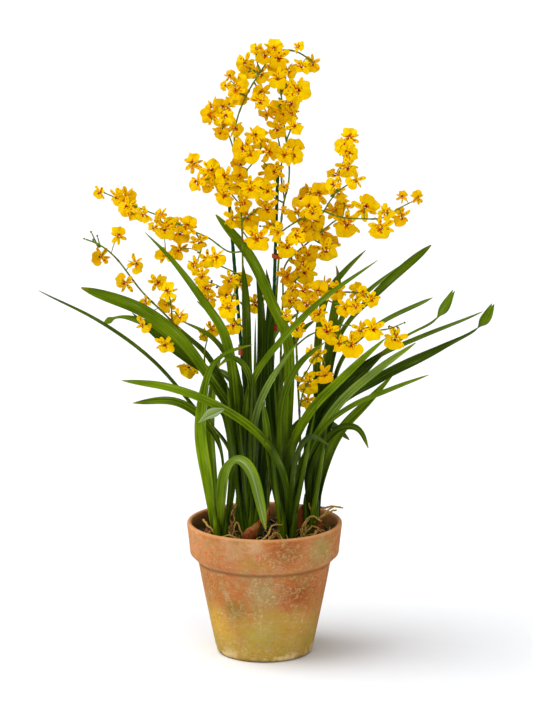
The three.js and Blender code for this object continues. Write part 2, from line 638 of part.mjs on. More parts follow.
// The bloom's own axes: it looks to the front or the back, then turns about its lip and nods, both
// away from its root.
function bloomFrame(side, direction, turn, nod, fromRoot) {
  const angle = THREE.MathUtils.degToRad(direction);
  const up = new THREE.Vector3(-Math.sin(angle), 0, Math.cos(angle));
  const front = new THREE.Vector3(0, side, 0);
  const right = new THREE.Vector3().crossVectors(up, front);
  const turned = turn * Math.sign(right.dot(fromRoot) || 1);
  front.applyAxisAngle(up, turned);
  right.applyAxisAngle(up, turned);
  const nodded = -nod * Math.sign(up.dot(fromRoot) || 1);
  up.applyAxisAngle(right, nodded);
  front.applyAxisAngle(right, nodded);
  return { up, front, right };
}

function bloomPoint({ centre, frame, width }, [x, y, z]) {
  const point = centre.clone().addScaledVector(frame.right, x * width);
  return point.addScaledVector(frame.up, y * width).addScaledVector(frame.front, z * width);
}

// A bloom in one piece with its pedicel: the front fans out from the callus, the back from the
// three corners of the pedicel, which runs down to its root on the twig.
function bloomSolid(bloom, root) {
  const rim = bloomOutline.map((share) => bloomPoint(bloom, share));
  const count = rim.length;
  const callus = bloomPoint(bloom, [0, -0.16, 0.07]);
  const corners = [];
  const foot = [];
  for (let k = 0; k < 3; k++) {
    const angle = (2 * Math.PI * k) / 3 - Math.PI / 2;
    const [x, y] = [pedicelRadius * Math.cos(angle), pedicelRadius * Math.sin(angle)];
    const share = [(1.5 * x) / bloom.width, -0.14 + (1.5 * y) / bloom.width, -0.06];
    corners.push(bloomPoint(bloom, share));
    const side = bloom.frame.right.clone().multiplyScalar(x);
    foot.push(root.clone().add(side).addScaledVector(bloom.frame.up, y));
  }
  const faces = [];
  const cornerOf = (i) => (i < 5 ? 1 : i < 9 ? 2 : 0);
  for (let i = 0; i < count; i++) {
    const next = (i + 1) % count;
    faces.push(count, i, next);
    const here = cornerOf(i);
    const there = cornerOf(next);
    faces.push(next, i, count + 1 + here);
    if (here !== there) faces.push(next, count + 1 + here, count + 1 + there);
  }
  for (let k = 0; k < 3; k++) {
    const a = count + 1 + k;
    const b = count + 1 + ((k + 1) % 3);
    faces.push(b, a, a + 3, b, a + 3, b + 3);
  }
  faces.push(count + 4, count + 6, count + 5);
  const geometry = new THREE.BufferGeometry().setFromPoints([...rim, callus, ...corners, ...foot]);
  geometry.setIndex(faces);
  return outward(geometry);
}

// What a bloom has to stay clear of: points with radii, each belonging to one node.
const obstacles = [];
function addObstacles(owner, curve, radius, count) {
  for (const point of curve.getSpacedPoints(count)) obstacles.push({ owner, point, radius });
}

// How far the points stay from every obstacle of other nodes, and of the bloom's own node.
function clearance(owner, points, root) {
  const room = { others: Infinity, own: Infinity };
  for (const obstacle of obstacles) {
    const side = obstacle.owner === owner ? "own" : "others";
    if (side === "own" && obstacle.point.distanceTo(root) < ownRootZone) continue;
    for (const point of points) {
      room[side] = Math.min(room[side], point.distanceTo(obstacle.point) - obstacle.radius);
    }
  }
  return room;
}

const depthSteps = [0, 5, 10, 15, 20, 26, 32, 38, 44];
const clearDistance = 1.8;
const ownDistance = 1.2;
const ownRootZone = 9; // the stem this near to a bloom's own root is no obstacle
const bloomReach = 2.2; // radius of a placed bloom's points, as obstacles
const leastLift = 2; // from the root to the bloom, along the way that the bloom looks
const pedicelLength = 9;
const budWidth = 19; // a bloom that spreads less is only part open
const leanRange = 14; // degrees
const mostNod = 0.35; // radians
const leastOffset = 6; // from the twig's depth to the bloom's
const frontShare = 0.8; // of the blooms hang before their twig, facing the front
const stemStep = 36; // along a stem, between its joints
const leastBloomHeight = soilTop + 60;

// Hangs one bloom from the twig point that suits its pedicel, at the first depth that is clear.
function placeBloom(owner, samples, [x, z, spread, direction]) {
  const flat = (sample) => Math.hypot(sample.x - x, sample.z - z);
  const fit = (sample) => Math.abs(flat(sample) - pedicelLength);
  const root = samples.reduce((best, sample) => (fit(sample) < fit(best) ? sample : best));
  const fullWidth = spread < budWidth ? spread * 1.1 : Math.max(spread, 24 + 5 * random());
  const width = fullWidth * bloomScale;
  const turn = Math.acos(spread / fullWidth);
  const lean = direction + leanRange * (random() - 0.5);
  const nod = mostNod * random();
  const offset = leastOffset * (1 + random());
  const first = random() < frontShare ? -1 : 1;
  let best = null;
  for (const [side, step] of [first, -first].flatMap((s) => depthSteps.map((d) => [s, d]))) {
    const centre = at(x, z, root.depth + side * (offset + step));
    const fromRoot = centre.clone().sub(root.point);
    const bloom = { width, centre, frame: bloomFrame(side, lean, turn, nod, fromRoot) };
    const rim = bloomOutline.map((share) => bloomPoint(bloom, share));
    const inner = rim.map((point) => point.clone().lerp(centre, 0.5));
    const stalk = [0.3, 0.5, 0.7, 0.85].map((share) => root.point.clone().lerp(centre, share));
    const points = [...rim, ...inner, ...stalk, centre];
    const room = clearance(owner, points, root.point);
    const othersShort = Math.min(room.others - clearDistance, 0);
    const ownShort = Math.min(room.own - ownDistance, 0);
    const behind = Math.min(fromRoot.dot(bloom.frame.front) - leastLift, 0);
    const score = othersShort * 10 + ownShort + behind;
    if (!best || score > best.score) best = { bloom, room, points, score };
    if (score === 0) break;
  }
  for (const point of best.points) obstacles.push({ owner, point, radius: bloomReach });
  return bloomSolid(best.bloom, root.point);
}

function flowerSpray(name) {
  const spray = sprays[name];
  const solids = [];
  const samples = [];
  sprayCurves(spray).forEach((curve, i) => {
    const joints = stemJoints(curve);
    const steps = joints.length - 1;
    const [start, sides] = i === 0 ? [stemRadius, 4] : [twigRadius, 3];
    solids.push(stem(curve, start, twigRadius, sides, steps));
    for (let j = 0; j < steps; j++) {
      for (const share of [0, 0.2, 0.4, 0.6, 0.8]) {
        const point = joints[j].clone().lerp(joints[j + 1], share);
        const scale = 1 + point.y / -eye.y;
        const x = eye.x + (point.x - eye.x) / scale;
        const z = eye.z + (point.z - eye.z) / scale;
        if (point.z > leastBloomHeight) samples.push({ point, x, z, depth: point.y });
      }
    }
  });
  for (const row of spray.blooms) solids.push(placeBloom(name, samples, row));
  return fuse(solids);
}

// ---- The assembly ----------------------------------------------------------------------------
for (const leaf of leaves) addObstacles(leaf[0], leafCurve(leaf), leaf[1] / 2, 60);
for (const [name, stake] of Object.entries(stakes)) {
  const line = new THREE.LineCurve3(stakePoint(stake, soilTop), new THREE.Vector3(...stake.top));
  addObstacles(name, line, stakeRadius, 90);
}
for (const [name, clip] of Object.entries(ties)) {
  addObstacles(name, new THREE.LineCurve3(...tieEnds(clip)), stakeRadius + 3, 4);
}
for (const [name, spray] of Object.entries(sprays)) {
  for (const curve of sprayCurves(spray)) {
    addObstacles(name, curve, twigRadius, Math.ceil(curve.getLength() / 5));
  }
}

const orchid = new THREE.Group();
function addPiece(name, solid, colour, roughness) {
  const material = new THREE.MeshStandardMaterial({ color: colour, roughness, metalness: 0 });
  const mesh = new THREE.Mesh(geometryOf(solid), material);
  mesh.name = name;
  orchid.add(mesh);
}

let medium = mediumBlock();
for (const { x, y, radius } of Object.values(clumps)) {
  medium = medium.subtract(drum(x, y, soilTop - rootDepth - gap, soilTop + 9, radius + gap, 8));
}
for (const stake of Object.values(stakes)) {
  medium = medium.subtract(rod(stake, stakeRadius + gap, stakeFoot - gap));
}
for (const { foot } of Object.values(sprays)) {
  const [x, y] = foot;
  medium = medium.subtract(drum(x, y, soilTop - rootDepth, soilTop + 9, stemRadius + 1, 6));
}
addPiece("pot", potShell(), "#bd7f52", 0.85);
addPiece("growing_medium", medium, "#3b2a1c", 0.95);
for (const [name, stake] of Object.entries(stakes)) {
  addPiece(`stake_${name}`, rod(stake, stakeRadius, stakeFoot), "#1f3a1c", 0.5);
}
for (const [name, clip] of Object.entries(ties)) {
  addPiece(`tie_${name}`, tie(clip), "#d9561f", 0.5);
}
for (const name of Object.keys(clumps)) {
  addPiece(`leafy_shoots_${name}`, shootClump(name), "#4f6b12", 0.55);
}
for (const name of Object.keys(sprays)) {
  addPiece(`flower_spray_${name}`, flowerSpray(name), "#f0c310", 0.6);
}

export default orchid;
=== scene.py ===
# %% [markdown]
# # A flowering oncidium orchid in a clay pot
#
# The solids of the plant are already packed: pot, growing medium, two stakes, three clips, five
# clumps of leafy shoots and five flower sprays. This lesson dresses them. Leaves, blooms, roots and
# bark are made again with fine meshes in the same places, and each surface gets a material that
# starts from what it is on a real plant.

# %% Load the solids
import bmesh
import bpy
import math
import numpy as np
from collections import namedtuple
from mathutils import Matrix, Vector, noise
from mathutils.bvhtree import BVHTree


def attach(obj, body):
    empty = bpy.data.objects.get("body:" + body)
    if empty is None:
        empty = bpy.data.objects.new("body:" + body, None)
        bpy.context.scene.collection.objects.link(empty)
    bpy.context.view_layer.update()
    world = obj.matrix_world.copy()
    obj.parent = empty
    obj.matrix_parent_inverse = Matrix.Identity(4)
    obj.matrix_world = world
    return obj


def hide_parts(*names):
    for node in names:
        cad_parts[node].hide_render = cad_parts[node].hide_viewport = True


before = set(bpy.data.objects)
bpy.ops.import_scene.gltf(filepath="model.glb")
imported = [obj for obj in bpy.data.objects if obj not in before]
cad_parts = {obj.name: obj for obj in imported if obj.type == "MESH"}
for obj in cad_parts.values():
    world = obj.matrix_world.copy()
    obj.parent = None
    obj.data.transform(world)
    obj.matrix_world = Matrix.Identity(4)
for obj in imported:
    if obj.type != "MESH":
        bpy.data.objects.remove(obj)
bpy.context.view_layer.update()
print("nodes:", len(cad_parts))

# %% [markdown]
# ## The camera
#
# A long lens from a few metres away keeps the pot's rim a flat ellipse and the sprays undistorted.
# The camera stands a little above the plant's middle and looks slightly down.

# %% Camera
EYE = np.array([2.4, -3600.0, 1100.0])  # where the lens stands, in millimetres
CAMERA_PITCH = math.radians(11.5)


def put_in_scene(name, data):
    made = bpy.data.objects.new(name, data)
    bpy.context.scene.collection.objects.link(made)
    return made


lens = bpy.data.cameras.new("view")
lens.sensor_width, lens.lens = 36, 154.6
camera = put_in_scene("view", lens)
camera.location = EYE / 1000
camera.rotation_euler = (math.pi / 2 - CAMERA_PITCH, 0, 0)
bpy.context.scene.camera = camera
bpy.context.scene.view_settings.view_transform = "Standard"
print("camera lens:", lens.lens, "mm")

# %% [markdown]
# ## Sizes
#
# Everything is laid out in millimetres, as on a workshop drawing, and turned into metres only when
# a mesh is finished.

# %% Main sizes, in millimetres
POT_HEIGHT = 163
BAND_FOOT = POT_HEIGHT - 39
NECK_RADIUS = 81.2
BASE_RADIUS = 59
FLOOR_THICKNESS = 9.5
DRAIN_RADIUS = 9
SOIL_TOP = 145
ROOT_DEPTH = 24
STAKE_RADIUS = 2.25
STEM_RADIUS = 1.7
TWIG_RADIUS = 1.3
STEM_STEP = 36


def at(x, z, depth):
    """A point of the elevation drawing, slid along its line of sight to its depth."""
    scale = 1 - depth / EYE[1]
    return np.array([EYE[0] + (x - EYE[0]) * scale, depth, EYE[2] + (z - EYE[2]) * scale])


print("pot:", POT_HEIGHT, "mm high, bark up to", SOIL_TOP, "mm")

# %% [markdown]
# ## The layout
#
# The plant is described the way a botanical draughtsman would draw it: every leaf and stem as a few
# points on the elevation, with its depth, and every bloom as its place, its visible width and the
# way its lip points. The solids were made from the same leaf and spray tables.

# %% Clumps of shoots
# Where each clump stands, its foot radius and its bulbs as (x, y, height, radius).
CLUMPS = {
    "left": {"x": -53, "y": -26, "radius": 13,
        "bulbs": [(-53, -27, 38, 9), (-46, -20, 30, 7)]},
    "middle": {"x": -20, "y": -2, "radius": 14,
        "bulbs": [(-20, -4, 40, 10), (-11, -4, 34, 8), (-28, 3, 30, 7)]},
    "centre": {"x": 29, "y": -14, "radius": 14,
        "bulbs": [(29, -16, 38, 9), (22, -10, 32, 7)]},
    "right": {"x": 54, "y": 14, "radius": 14,
        "bulbs": [(54, 13, 38, 9), (47, 20, 32, 7), (60, 8, 30, 7)]},
    "back": {"x": -10, "y": 54, "radius": 13,
        "bulbs": [(-10, 54, 38, 9), (-3, 50, 30, 7)]},
}

# %% Leaves
# A face angle turns the blade: 0 shows its edge and 90 its flat side. The route is (x, z) points.
Leaf = namedtuple("Leaf", "clump width face_root face_tip depth_root depth_tip route")
LEAVES = [Leaf(*row) for row in (
    ("left", 12, 22, 22, -22, 40, [(-41, 245), (-79, 295), (-131, 358), (-194, 406), (-272, 448)]),
    ("left", 12, 60, 60, -24, -5, [(-53, 251), (-72, 287), (-92, 304), (-113, 312), (-160, 309)]),
    ("left", 13, 75, 75, -30, -52, [(-69, 213), (-77, 276), (-71, 334)]),
    ("left", 12, 60, 60, -34, -120, [(-52, 188), (-47, 225), (-33, 240), (-18, 227), (2, 150)]),
    ("left", 12, 70, 70, -14, 110, [(-61, 213), (-65, 276), (-62, 331), (-52, 372)]),
    ("left", 11, 70, 70, -34, -62, [(-39, 226), (-44, 282), (-53, 302), (-79, 287)]),
    ("middle", 17, 85, 85, -8, -30,
     [(-30, 276), (-66, 340), (-102, 389), (-146, 423), (-221, 451)]),
    ("middle", 13, 70, 70, 8, 6, [(-32, 288), (-60, 340), (-96, 366), (-126, 389), (-160, 421)]),
    ("middle", 13, 80, 80, -12, -62,
     [(-33, 276), (-47, 390), (-74, 435), (-112, 486), (-144, 519)]),
    ("middle", 10, 30, 80, 16, 62, [(-36, 294), (-90, 366), (-137, 404), (-173, 415), (-194, 407)]),
    ("middle", 11, 35, 35, 18, 52, [(-34, 288), (-69, 367), (-90, 388), (-119, 417)]),
    ("middle", 11, 35, 35, -2, -2, [(-27, 276), (-44, 362), (-65, 391), (-100, 410)]),
    ("middle", 12, 60, 60, -10, -70, [(-16, 276), (-20, 347), (-40, 366), (-57, 352)]),
    ("middle", 12, 75, 75, -16, -58, [(-25, 263), (-15, 335), (21, 387), (68, 435), (137, 485)]),
    ("middle", 12, 75, 75, 0, 4, [(-18, 263), (-21, 362), (-22, 435), (-26, 482)]),
    ("middle", 13, 65, 65, 6, 32, [(-10, 263), (-3, 362), (-4, 429), (-10, 470)]),
    ("middle", 12, 70, 70, -14, -66, [(-15, 238), (-10, 294), (7, 336), (40, 384)]),
    ("centre", 13, 80, 80, -24, -96, [(24, 216), (-3, 266), (-53, 304), (-113, 328), (-173, 337)]),
    ("centre", 14, 80, 80, -14, 24, [(27, 263), (27, 389), (10, 429), (-17, 488), (-59, 540)]),
    ("centre", 12, 60, 60, -20, -44, [(35, 201), (50, 241), (91, 309), (139, 352), (183, 384)]),
    ("centre", 10, 30, 30, -18, -78, [(43, 213), (67, 273), (103, 304), (151, 325), (199, 344)]),
    ("centre", 12, 75, 75, -12, -28, [(31, 245), (55, 298), (91, 337), (129, 374), (147, 390)]),
    ("centre", 12, 60, 60, -26, -64, [(19, 251), (24, 319), (43, 358), (74, 385)]),
    ("centre", 11, 65, 65, -26, -70, [(9, 226), (1, 288), (-3, 313)]),
    ("centre", 13, 80, 80, 4, 18, [(9, 276), (4, 374), (7, 435), (2, 474)]),
    ("centre", 12, 55, 55, -30, -172, [(33, 201), (41, 248), (57, 268), (79, 256)]),
    ("right", 14, 85, 85, 16, 34, [(63, 263), (73, 337), (83, 415), (89, 462), (85, 479)]),
    ("right", 11, 70, 70, 14, 62, [(65, 276), (64, 374), (74, 440), (99, 474), (122, 497)]),
    ("right", 14, 80, 80, 22, 30, [(69, 282), (91, 393), (138, 448), (168, 476), (200, 503)]),
    ("right", 11, 65, 65, 26, 96, [(74, 313), (93, 413), (126, 448), (172, 484)]),
    ("right", 12, 35, -60, 18, 70, [(77, 300), (97, 368), (139, 407), (186, 431), (203, 439)]),
    ("right", 13, 70, -80, 12, 14, [(79, 288), (127, 356), (168, 390), (207, 413), (228, 449)]),
    ("right", 10, 28, 28, 22, 100, [(84, 313), (128, 360), (186, 389), (238, 411), (263, 422)]),
    ("right", 15, 75, -80, 6, -36, [(79, 297), (139, 340), (212, 377), (259, 404), (275, 433)]),
    ("right", 13, 75, 75, 8, -10, [(70, 220), (91, 273), (124, 310), (156, 345)]),
    ("right", 13, 65, 65, 0, -70, [(61, 238), (89, 277), (113, 278), (126, 252)]),
    ("right", 15, 75, 75, 10, 10, [(57, 276), (85, 324), (120, 355), (146, 374)]),
    ("right", 12, 60, 60, 20, 110, [(72, 263), (86, 323), (105, 349), (129, 374)]),
    ("back", 14, 60, 60, 42, 120, [(-3, 276), (-3, 350), (14, 399), (43, 421)]),
    ("back", 13, 50, 50, 40, 150, [(-18, 263), (-32, 325), (-51, 347), (-78, 350)]),
    ("back", 13, 70, 70, 44, 60, [(9, 276), (25, 362), (45, 399), (64, 413)]),
    ("back", 14, 40, 40, 46, 168, [(21, 251), (49, 288), (79, 282), (103, 263)]),
    ("back", 13, 60, 60, 40, 95, [(-22, 276), (-44, 374), (-61, 416), (-82, 435)]),
    ("back", 14, 30, 30, 48, 176, [(-3, 251), (-8, 282), (-18, 278), (-25, 256)]),
)]

# %% Stakes and clips
STAKES = {
    "left": {"foot": (-9.6, 24, 138.2), "top": (-42.5, 24, 552.9)},
    "right": {"foot": (2.4, 36, 135.0), "top": (16.2, 36, 593.5)},
}
TIES = {
    "left": {"stake": "left", "spray": "upper_left", "z": 370},
    "right_low": {"stake": "right", "spray": "upper_middle", "z": 396},
    "right_high": {"stake": "right", "spray": "upper_middle", "z": 483},
}

# %% Flower sprays
# The foot (x, y), the main stem and its twigs as (x, z, depth), and the blooms as (x, z, visible
# width, direction that the lip points: 0 down, 90 right).
BLOOM_SCALE = 0.8
SPRAYS = {
    "upper_left": {
        "foot": (-7, 16),
        "main": [
            (-19, 276, 17), (-25, 374, 18), (-26, 435, 18), (-26, 472, 17), (-28, 544, 4),
            (-35, 595, 6), (-34, 646, 8), (-23, 678, 8), (-5, 709, 6), (14, 733, 0), (35, 734, -8),
            (56, 723, -16),
        ],
        "twigs": [
            [(-36, 610, 6), (-40, 628, 0), (-50, 650, -8), (-57, 666, -16)],
            [(-34, 578, 5), (-50, 587, 14), (-69, 593, 24), (-86, 598, 34)],
            [(-50, 587, 14), (-70, 581, 6), (-83, 579, 0)],
            [(-29, 550, 4), (-39, 563, -14), (-46, 569, -24)],
            [(-27, 530, 4), (-10, 543, 16), (3, 548, 24)],
            [(-29, 557, 4), (-23, 589, -8), (-14, 601, -14), (-4, 622, -16), (-12, 636, -14)],
            [(-23, 589, -8), (-17, 576, -22), (-15, 564, -28)],
            [(-8, 707, 6), (-16, 714, 18), (-23, 721, 26)],
            [(-5, 709, 6), (-10, 728, -6), (-8, 739, -12)],
            [(-22, 681, 8), (-30, 685, -4), (-36, 695, -12)],
            [(-12, 697, 8), (-5, 685, 22), (-3, 675, 30)],
            [(-26, 518, 2), (-17, 508, -18), (-10, 505, -26)],
            [(-27, 490, 1), (-42, 494, 8), (-67, 511, 16), (-85, 519, 18), (-107, 530, 14),
             (-132, 540, 6), (-152, 548, 0), (-174, 558, -10), (-195, 567, -16)],
            [(-82, 518, 18), (-75, 503, 30), (-79, 486, 38)],
            [(-127, 538, 7), (-120, 525, -10)],
            [(-152, 548, 0), (-158, 540, 14)],
            [(-26, 460, 0), (-42, 472, 10), (-60, 479, 26), (-78, 478, 36)],
            [(-26, 426, -2), (-44, 445, 16), (-58, 454, 28), (-71, 459, 34)],
            [(-26, 399, -3), (-35, 409, -20), (-41, 428, -28), (-34, 450, -30)],
        ],
        "blooms": [
            (-9, 737, 17, -90), (11, 736, 28, 170), (1, 730, 27, -30), (17, 727, 32, 0),
            (-22, 721, 28, -70), (-17, 712, 28, -30), (11, 719, 26, 0), (-4, 708, 28, 20),
            (-31, 695, 28, 100), (-32, 688, 22, -60), (-28, 681, 26, 0), (-41, 704, 15, -160),
            (-45, 693, 15, -100), (44, 717, 24, 0), (57, 720, 23, 0), (40, 739, 15, 110),
            (-3, 685, 26, -90), (-6, 675, 26, 30), (-61, 668, 19, -60), (-50, 666, 22, 180),
            (-43, 669, 19, 150), (-62, 658, 30, -85), (-48, 657, 22, 90), (-50, 644, 26, 0),
            (-52, 638, 22, -10), (-36, 643, 26, 60), (-23, 619, 37, -80), (-17, 613, 26, 45),
            (-11, 633, 26, 150), (-4, 631, 22, -45), (-29, 597, 26, 180), (-85, 600, 24, 180),
            (-80, 579, 22, -60), (-64, 591, 32, 140), (-59, 582, 28, -100), (-66, 576, 22, 0),
            (-46, 585, 28, -90), (-48, 575, 28, -70), (-30, 584, 28, 170), (-29, 576, 32, -10),
            (-47, 563, 30, -20), (-17, 572, 35, 0), (-26, 554, 22, 60), (-21, 537, 41, 0),
            (-38, 535, 26, 0), (3, 547, 34, 10), (-9, 512, 38, 0), (-196, 566, 17, -30),
            (-176, 561, 23, 0), (-165, 560, 28, 80), (-163, 549, 22, -60), (-158, 543, 23, 0),
            (-144, 540, 21, 0), (-123, 540, 18, -90), (-119, 523, 37, 0), (-131, 523, 18, -90),
            (-110, 525, 26, 180), (-92, 525, 28, 160), (-101, 518, 32, 10), (-101, 497, 27, -50),
            (-78, 507, 26, 0), (-83, 478, 23, -50), (-68, 486, 26, 0), (-59, 488, 23, 60),
            (-75, 465, 26, 0), (-69, 451, 27, -60), (-68, 438, 28, 0), (-42, 461, 26, 0),
            (-29, 456, 32, 150), (-45, 440, 28, -150), (-43, 428, 32, 0), (-37, 406, 26, 0),
            (-11, 432, 28, 0), (-118, 489, 19, -90),
        ],
    },
    "upper_middle": {
        "foot": (4, 25),
        "main": [
            (10, 344, 28), (12, 401, 30), (14, 435, 30), (17, 486, 30), (19, 518, 28),
            (22, 548, 24), (29, 581, 26), (29, 604, 28), (24, 640, 28), (21, 672, 24),
            (18, 695, 20),
        ],
        "twigs": [
            [(21, 682, 22), (25, 700, 12), (23, 714, 4), (17, 723, -4)],
            [(24, 558, 24), (20, 581, 34), (20, 610, 40), (14, 640, 42)],
            [(27, 628, 28), (34, 644, 16), (42, 641, 8)],
            [(22, 666, 25), (30, 681, 14), (38, 689, 8)],
            [(21, 672, 24), (12, 666, 34), (4, 661, 40)],
            [(20, 598, 38), (9, 593, 48), (-1, 602, 54)],
            [(23, 553, 24), (10, 560, 24), (-3, 569, 34)],
            [(17, 513, 22), (7, 525, 26), (-3, 525, 30)],
            [(19, 516, 22), (34, 528, 16), (47, 534, 10), (64, 535, 4), (77, 554, 4), (85, 566, 8),
             (90, 593, 16), (96, 608, 22), (100, 626, 26)],
            [(82, 560, 6), (96, 573, -8), (106, 579, -14)],
            [(67, 541, 4), (91, 536, -6), (116, 534, -12), (140, 535, -14), (161, 547, -18),
             (183, 558, -22)],
            [(57, 535, 7), (59, 550, 22), (59, 565, 30)],
        ],
        "blooms": [
            (27, 710, 26, 90), (16, 703, 30, 0), (38, 688, 37, 95), (27, 691, 22, -90),
            (15, 662, 32, 175), (22, 661, 28, 0), (29, 672, 32, 80), (31, 661, 22, 30),
            (4, 659, 19, -80), (15, 643, 32, 10), (35, 645, 22, 60), (4, 615, 32, 90),
            (35, 616, 32, 170), (33, 610, 28, 90), (24, 612, 26, 0), (13, 591, 28, -60),
            (3, 590, 26, 160), (-5, 569, 35, 165), (4, 569, 28, 0), (23, 573, 16, 0),
            (23, 544, 15, 20), (10, 525, 26, 60), (15, 519, 19, 0), (101, 631, 27, 180),
            (96, 621, 26, -95), (99, 613, 27, 95), (98, 597, 32, 20), (109, 581, 23, -30),
            (85, 587, 19, -90), (83, 575, 19, -90), (87, 566, 19, 30), (96, 550, 19, -150),
            (64, 563, 32, 170), (53, 564, 27, -100), (54, 547, 34, 175), (45, 557, 19, -90),
            (39, 542, 22, -90), (57, 543, 27, 0), (83, 544, 28, 90), (119, 547, 38, 130),
            (138, 524, 37, 0), (144, 542, 22, 60), (164, 537, 24, 0), (164, 560, 16, 180),
            (182, 559, 18, 180),
        ],
    },
    "upper_right": {
        "foot": (17, 42),
        "main": [
            (19, 344, 40), (22, 435, 42), (25, 478, 44), (46, 500, 48), (70, 520, 54),
            (90, 534, 58), (104, 530, 60),
        ],
        "twigs": [
            [(32, 486, 45), (27, 496, 60), (26, 505, 66)],
            [(46, 500, 48), (42, 513, 34), (47, 525, 26)],
            [(56, 511, 51), (72, 501, 66), (81, 494, 74)],
            [(23, 460, 43), (35, 470, 56), (46, 477, 62)],
            [(22, 440, 42), (33, 455, 30), (40, 462, 22)],
        ],
        "blooms": [
            (47, 536, 26, 0), (61, 530, 26, 90), (46, 519, 32, 10), (39, 514, 22, -90),
            (57, 520, 23, 20), (69, 518, 22, 0), (98, 529, 39, 0), (72, 497, 37, 20),
            (77, 505, 28, 150), (51, 491, 28, 80), (45, 480, 37, 90), (48, 471, 38, 0),
            (26, 466, 28, 30), (27, 501, 32, 0),
        ],
    },
    "lower_left": {
        "foot": (-36, 24),
        "main": [
            (-32, 226, 22), (-42, 282, 19), (-58, 328, 19), (-82, 372, 16), (-113, 411, 10),
            (-147, 446, -4), (-179, 488, -14), (-198, 503, -18), (-213, 509, -20),
        ],
        "twigs": [
            [(-111, 409, 11), (-112, 429, 6), (-116, 448, 2)],
            [(-198, 503, -18), (-206, 516, -22)],
            [(-195, 501, -18), (-199, 511, -14)],
            [(-72, 355, 17), (-72, 372, 16), (-69, 387, 14)],
        ],
        "blooms": [
            (-174, 513, 23, 180), (-195, 488, 26, -90), (-155, 480, 19, 60), (-166, 456, 26, -90),
            (-129, 457, 26, 90), (-142, 432, 17, -60), (-116, 445, 23, 180), (-116, 431, 26, -60),
            (-147, 406, 19, 0), (-110, 405, 24, 0), (-104, 415, 19, 60), (-120, 382, 27, 20),
            (-90, 355, 32, -30), (-73, 394, 17, 0), (-64, 401, 21, 20),
        ],
    },
    "lower_right": {
        "foot": (38, 27),
        "main": [
            (43, 263, 24), (39, 362, 20), (39, 417, 16), (50, 439, 14), (69, 443, 4),
            (92, 445, -10), (112, 444, -20), (128, 438, -26),
        ],
        "twigs": [
            [(39, 421, 16), (32, 432, 26), (26, 440, 30)],
            [(56, 440, 13), (64, 452, 24), (75, 457, 32)],
            [(39, 380, 19), (55, 393, -8), (74, 400, -24), (99, 405, -30), (124, 399, -36),
             (148, 400, -42), (166, 407, -48)],
            [(83, 402, -26), (92, 387, -40), (99, 380, -46)],
            [(64, 442, 6), (83, 432, -12), (107, 429, -28)],
            [(39, 399, 17), (49, 413, -4), (57, 423, -18)],
            [(42, 300, 23), (46, 320, -14), (52, 334, -36)],
            [(40, 331, 21), (52, 350, -12), (64, 367, -34), (72, 360, -40), (72, 347, -44)],
        ],
        "blooms": [
            (33, 434, 28, -80), (26, 418, 18, 0), (33, 449, 22, 0), (47, 448, 26, 0),
            (52, 432, 35, -20), (64, 445, 32, 175), (72, 455, 19, 0), (39, 401, 26, -10),
            (64, 420, 26, 20), (87, 448, 26, 0), (110, 445, 19, 180), (117, 444, 17, 170),
            (128, 437, 24, 30), (97, 427, 26, -20), (109, 429, 26, 20), (76, 399, 35, -30),
            (90, 384, 23, 0), (104, 382, 37, 0), (115, 400, 28, 10), (131, 401, 32, 0),
            (158, 389, 34, -20), (51, 335, 35, 10), (72, 345, 28, 20), (64, 369, 22, -20),
            (52, 313, 19, -10), (56, 374, 16, -60),
        ],
    },
}

print(len(LEAVES), "leaves,", sum(len(spray["blooms"]) for spray in SPRAYS.values()), "blooms")

# %% [markdown]
# ## Chance that repeats
#
# A plant needs small irregularities, and a lesson needs the same result each time. A linear
# congruential generator gives both: the same seed always draws the same numbers. The noise library
# gets a seed too, because it would otherwise take one from the clock.

# %% Repeatable chance
noise.seed_set(1)


class Dice:
    def __init__(self, seed):
        self.state = seed

    def roll(self, low=0.0, high=1.0):
        self.state = (self.state * 1664525 + 1013904223) % 2**32
        return low + (high - low) * self.state / 2**32


def mix(a, b, share):
    return a + (b - a) * share


def ease(low, high, value):
    share = min(1.0, max(0.0, (value - low) / (high - low)))
    return share * share * (3 - 2 * share)


# %% [markdown]
# ## Smooth curves
#
# Leaves and stems follow centripetal Catmull-Rom curves. They pass through every drawn point and
# never overshoot between two that lie close together, which a plain spline does. Points are read by
# their share of the curve's length, so that rows of a mesh are evenly spaced.


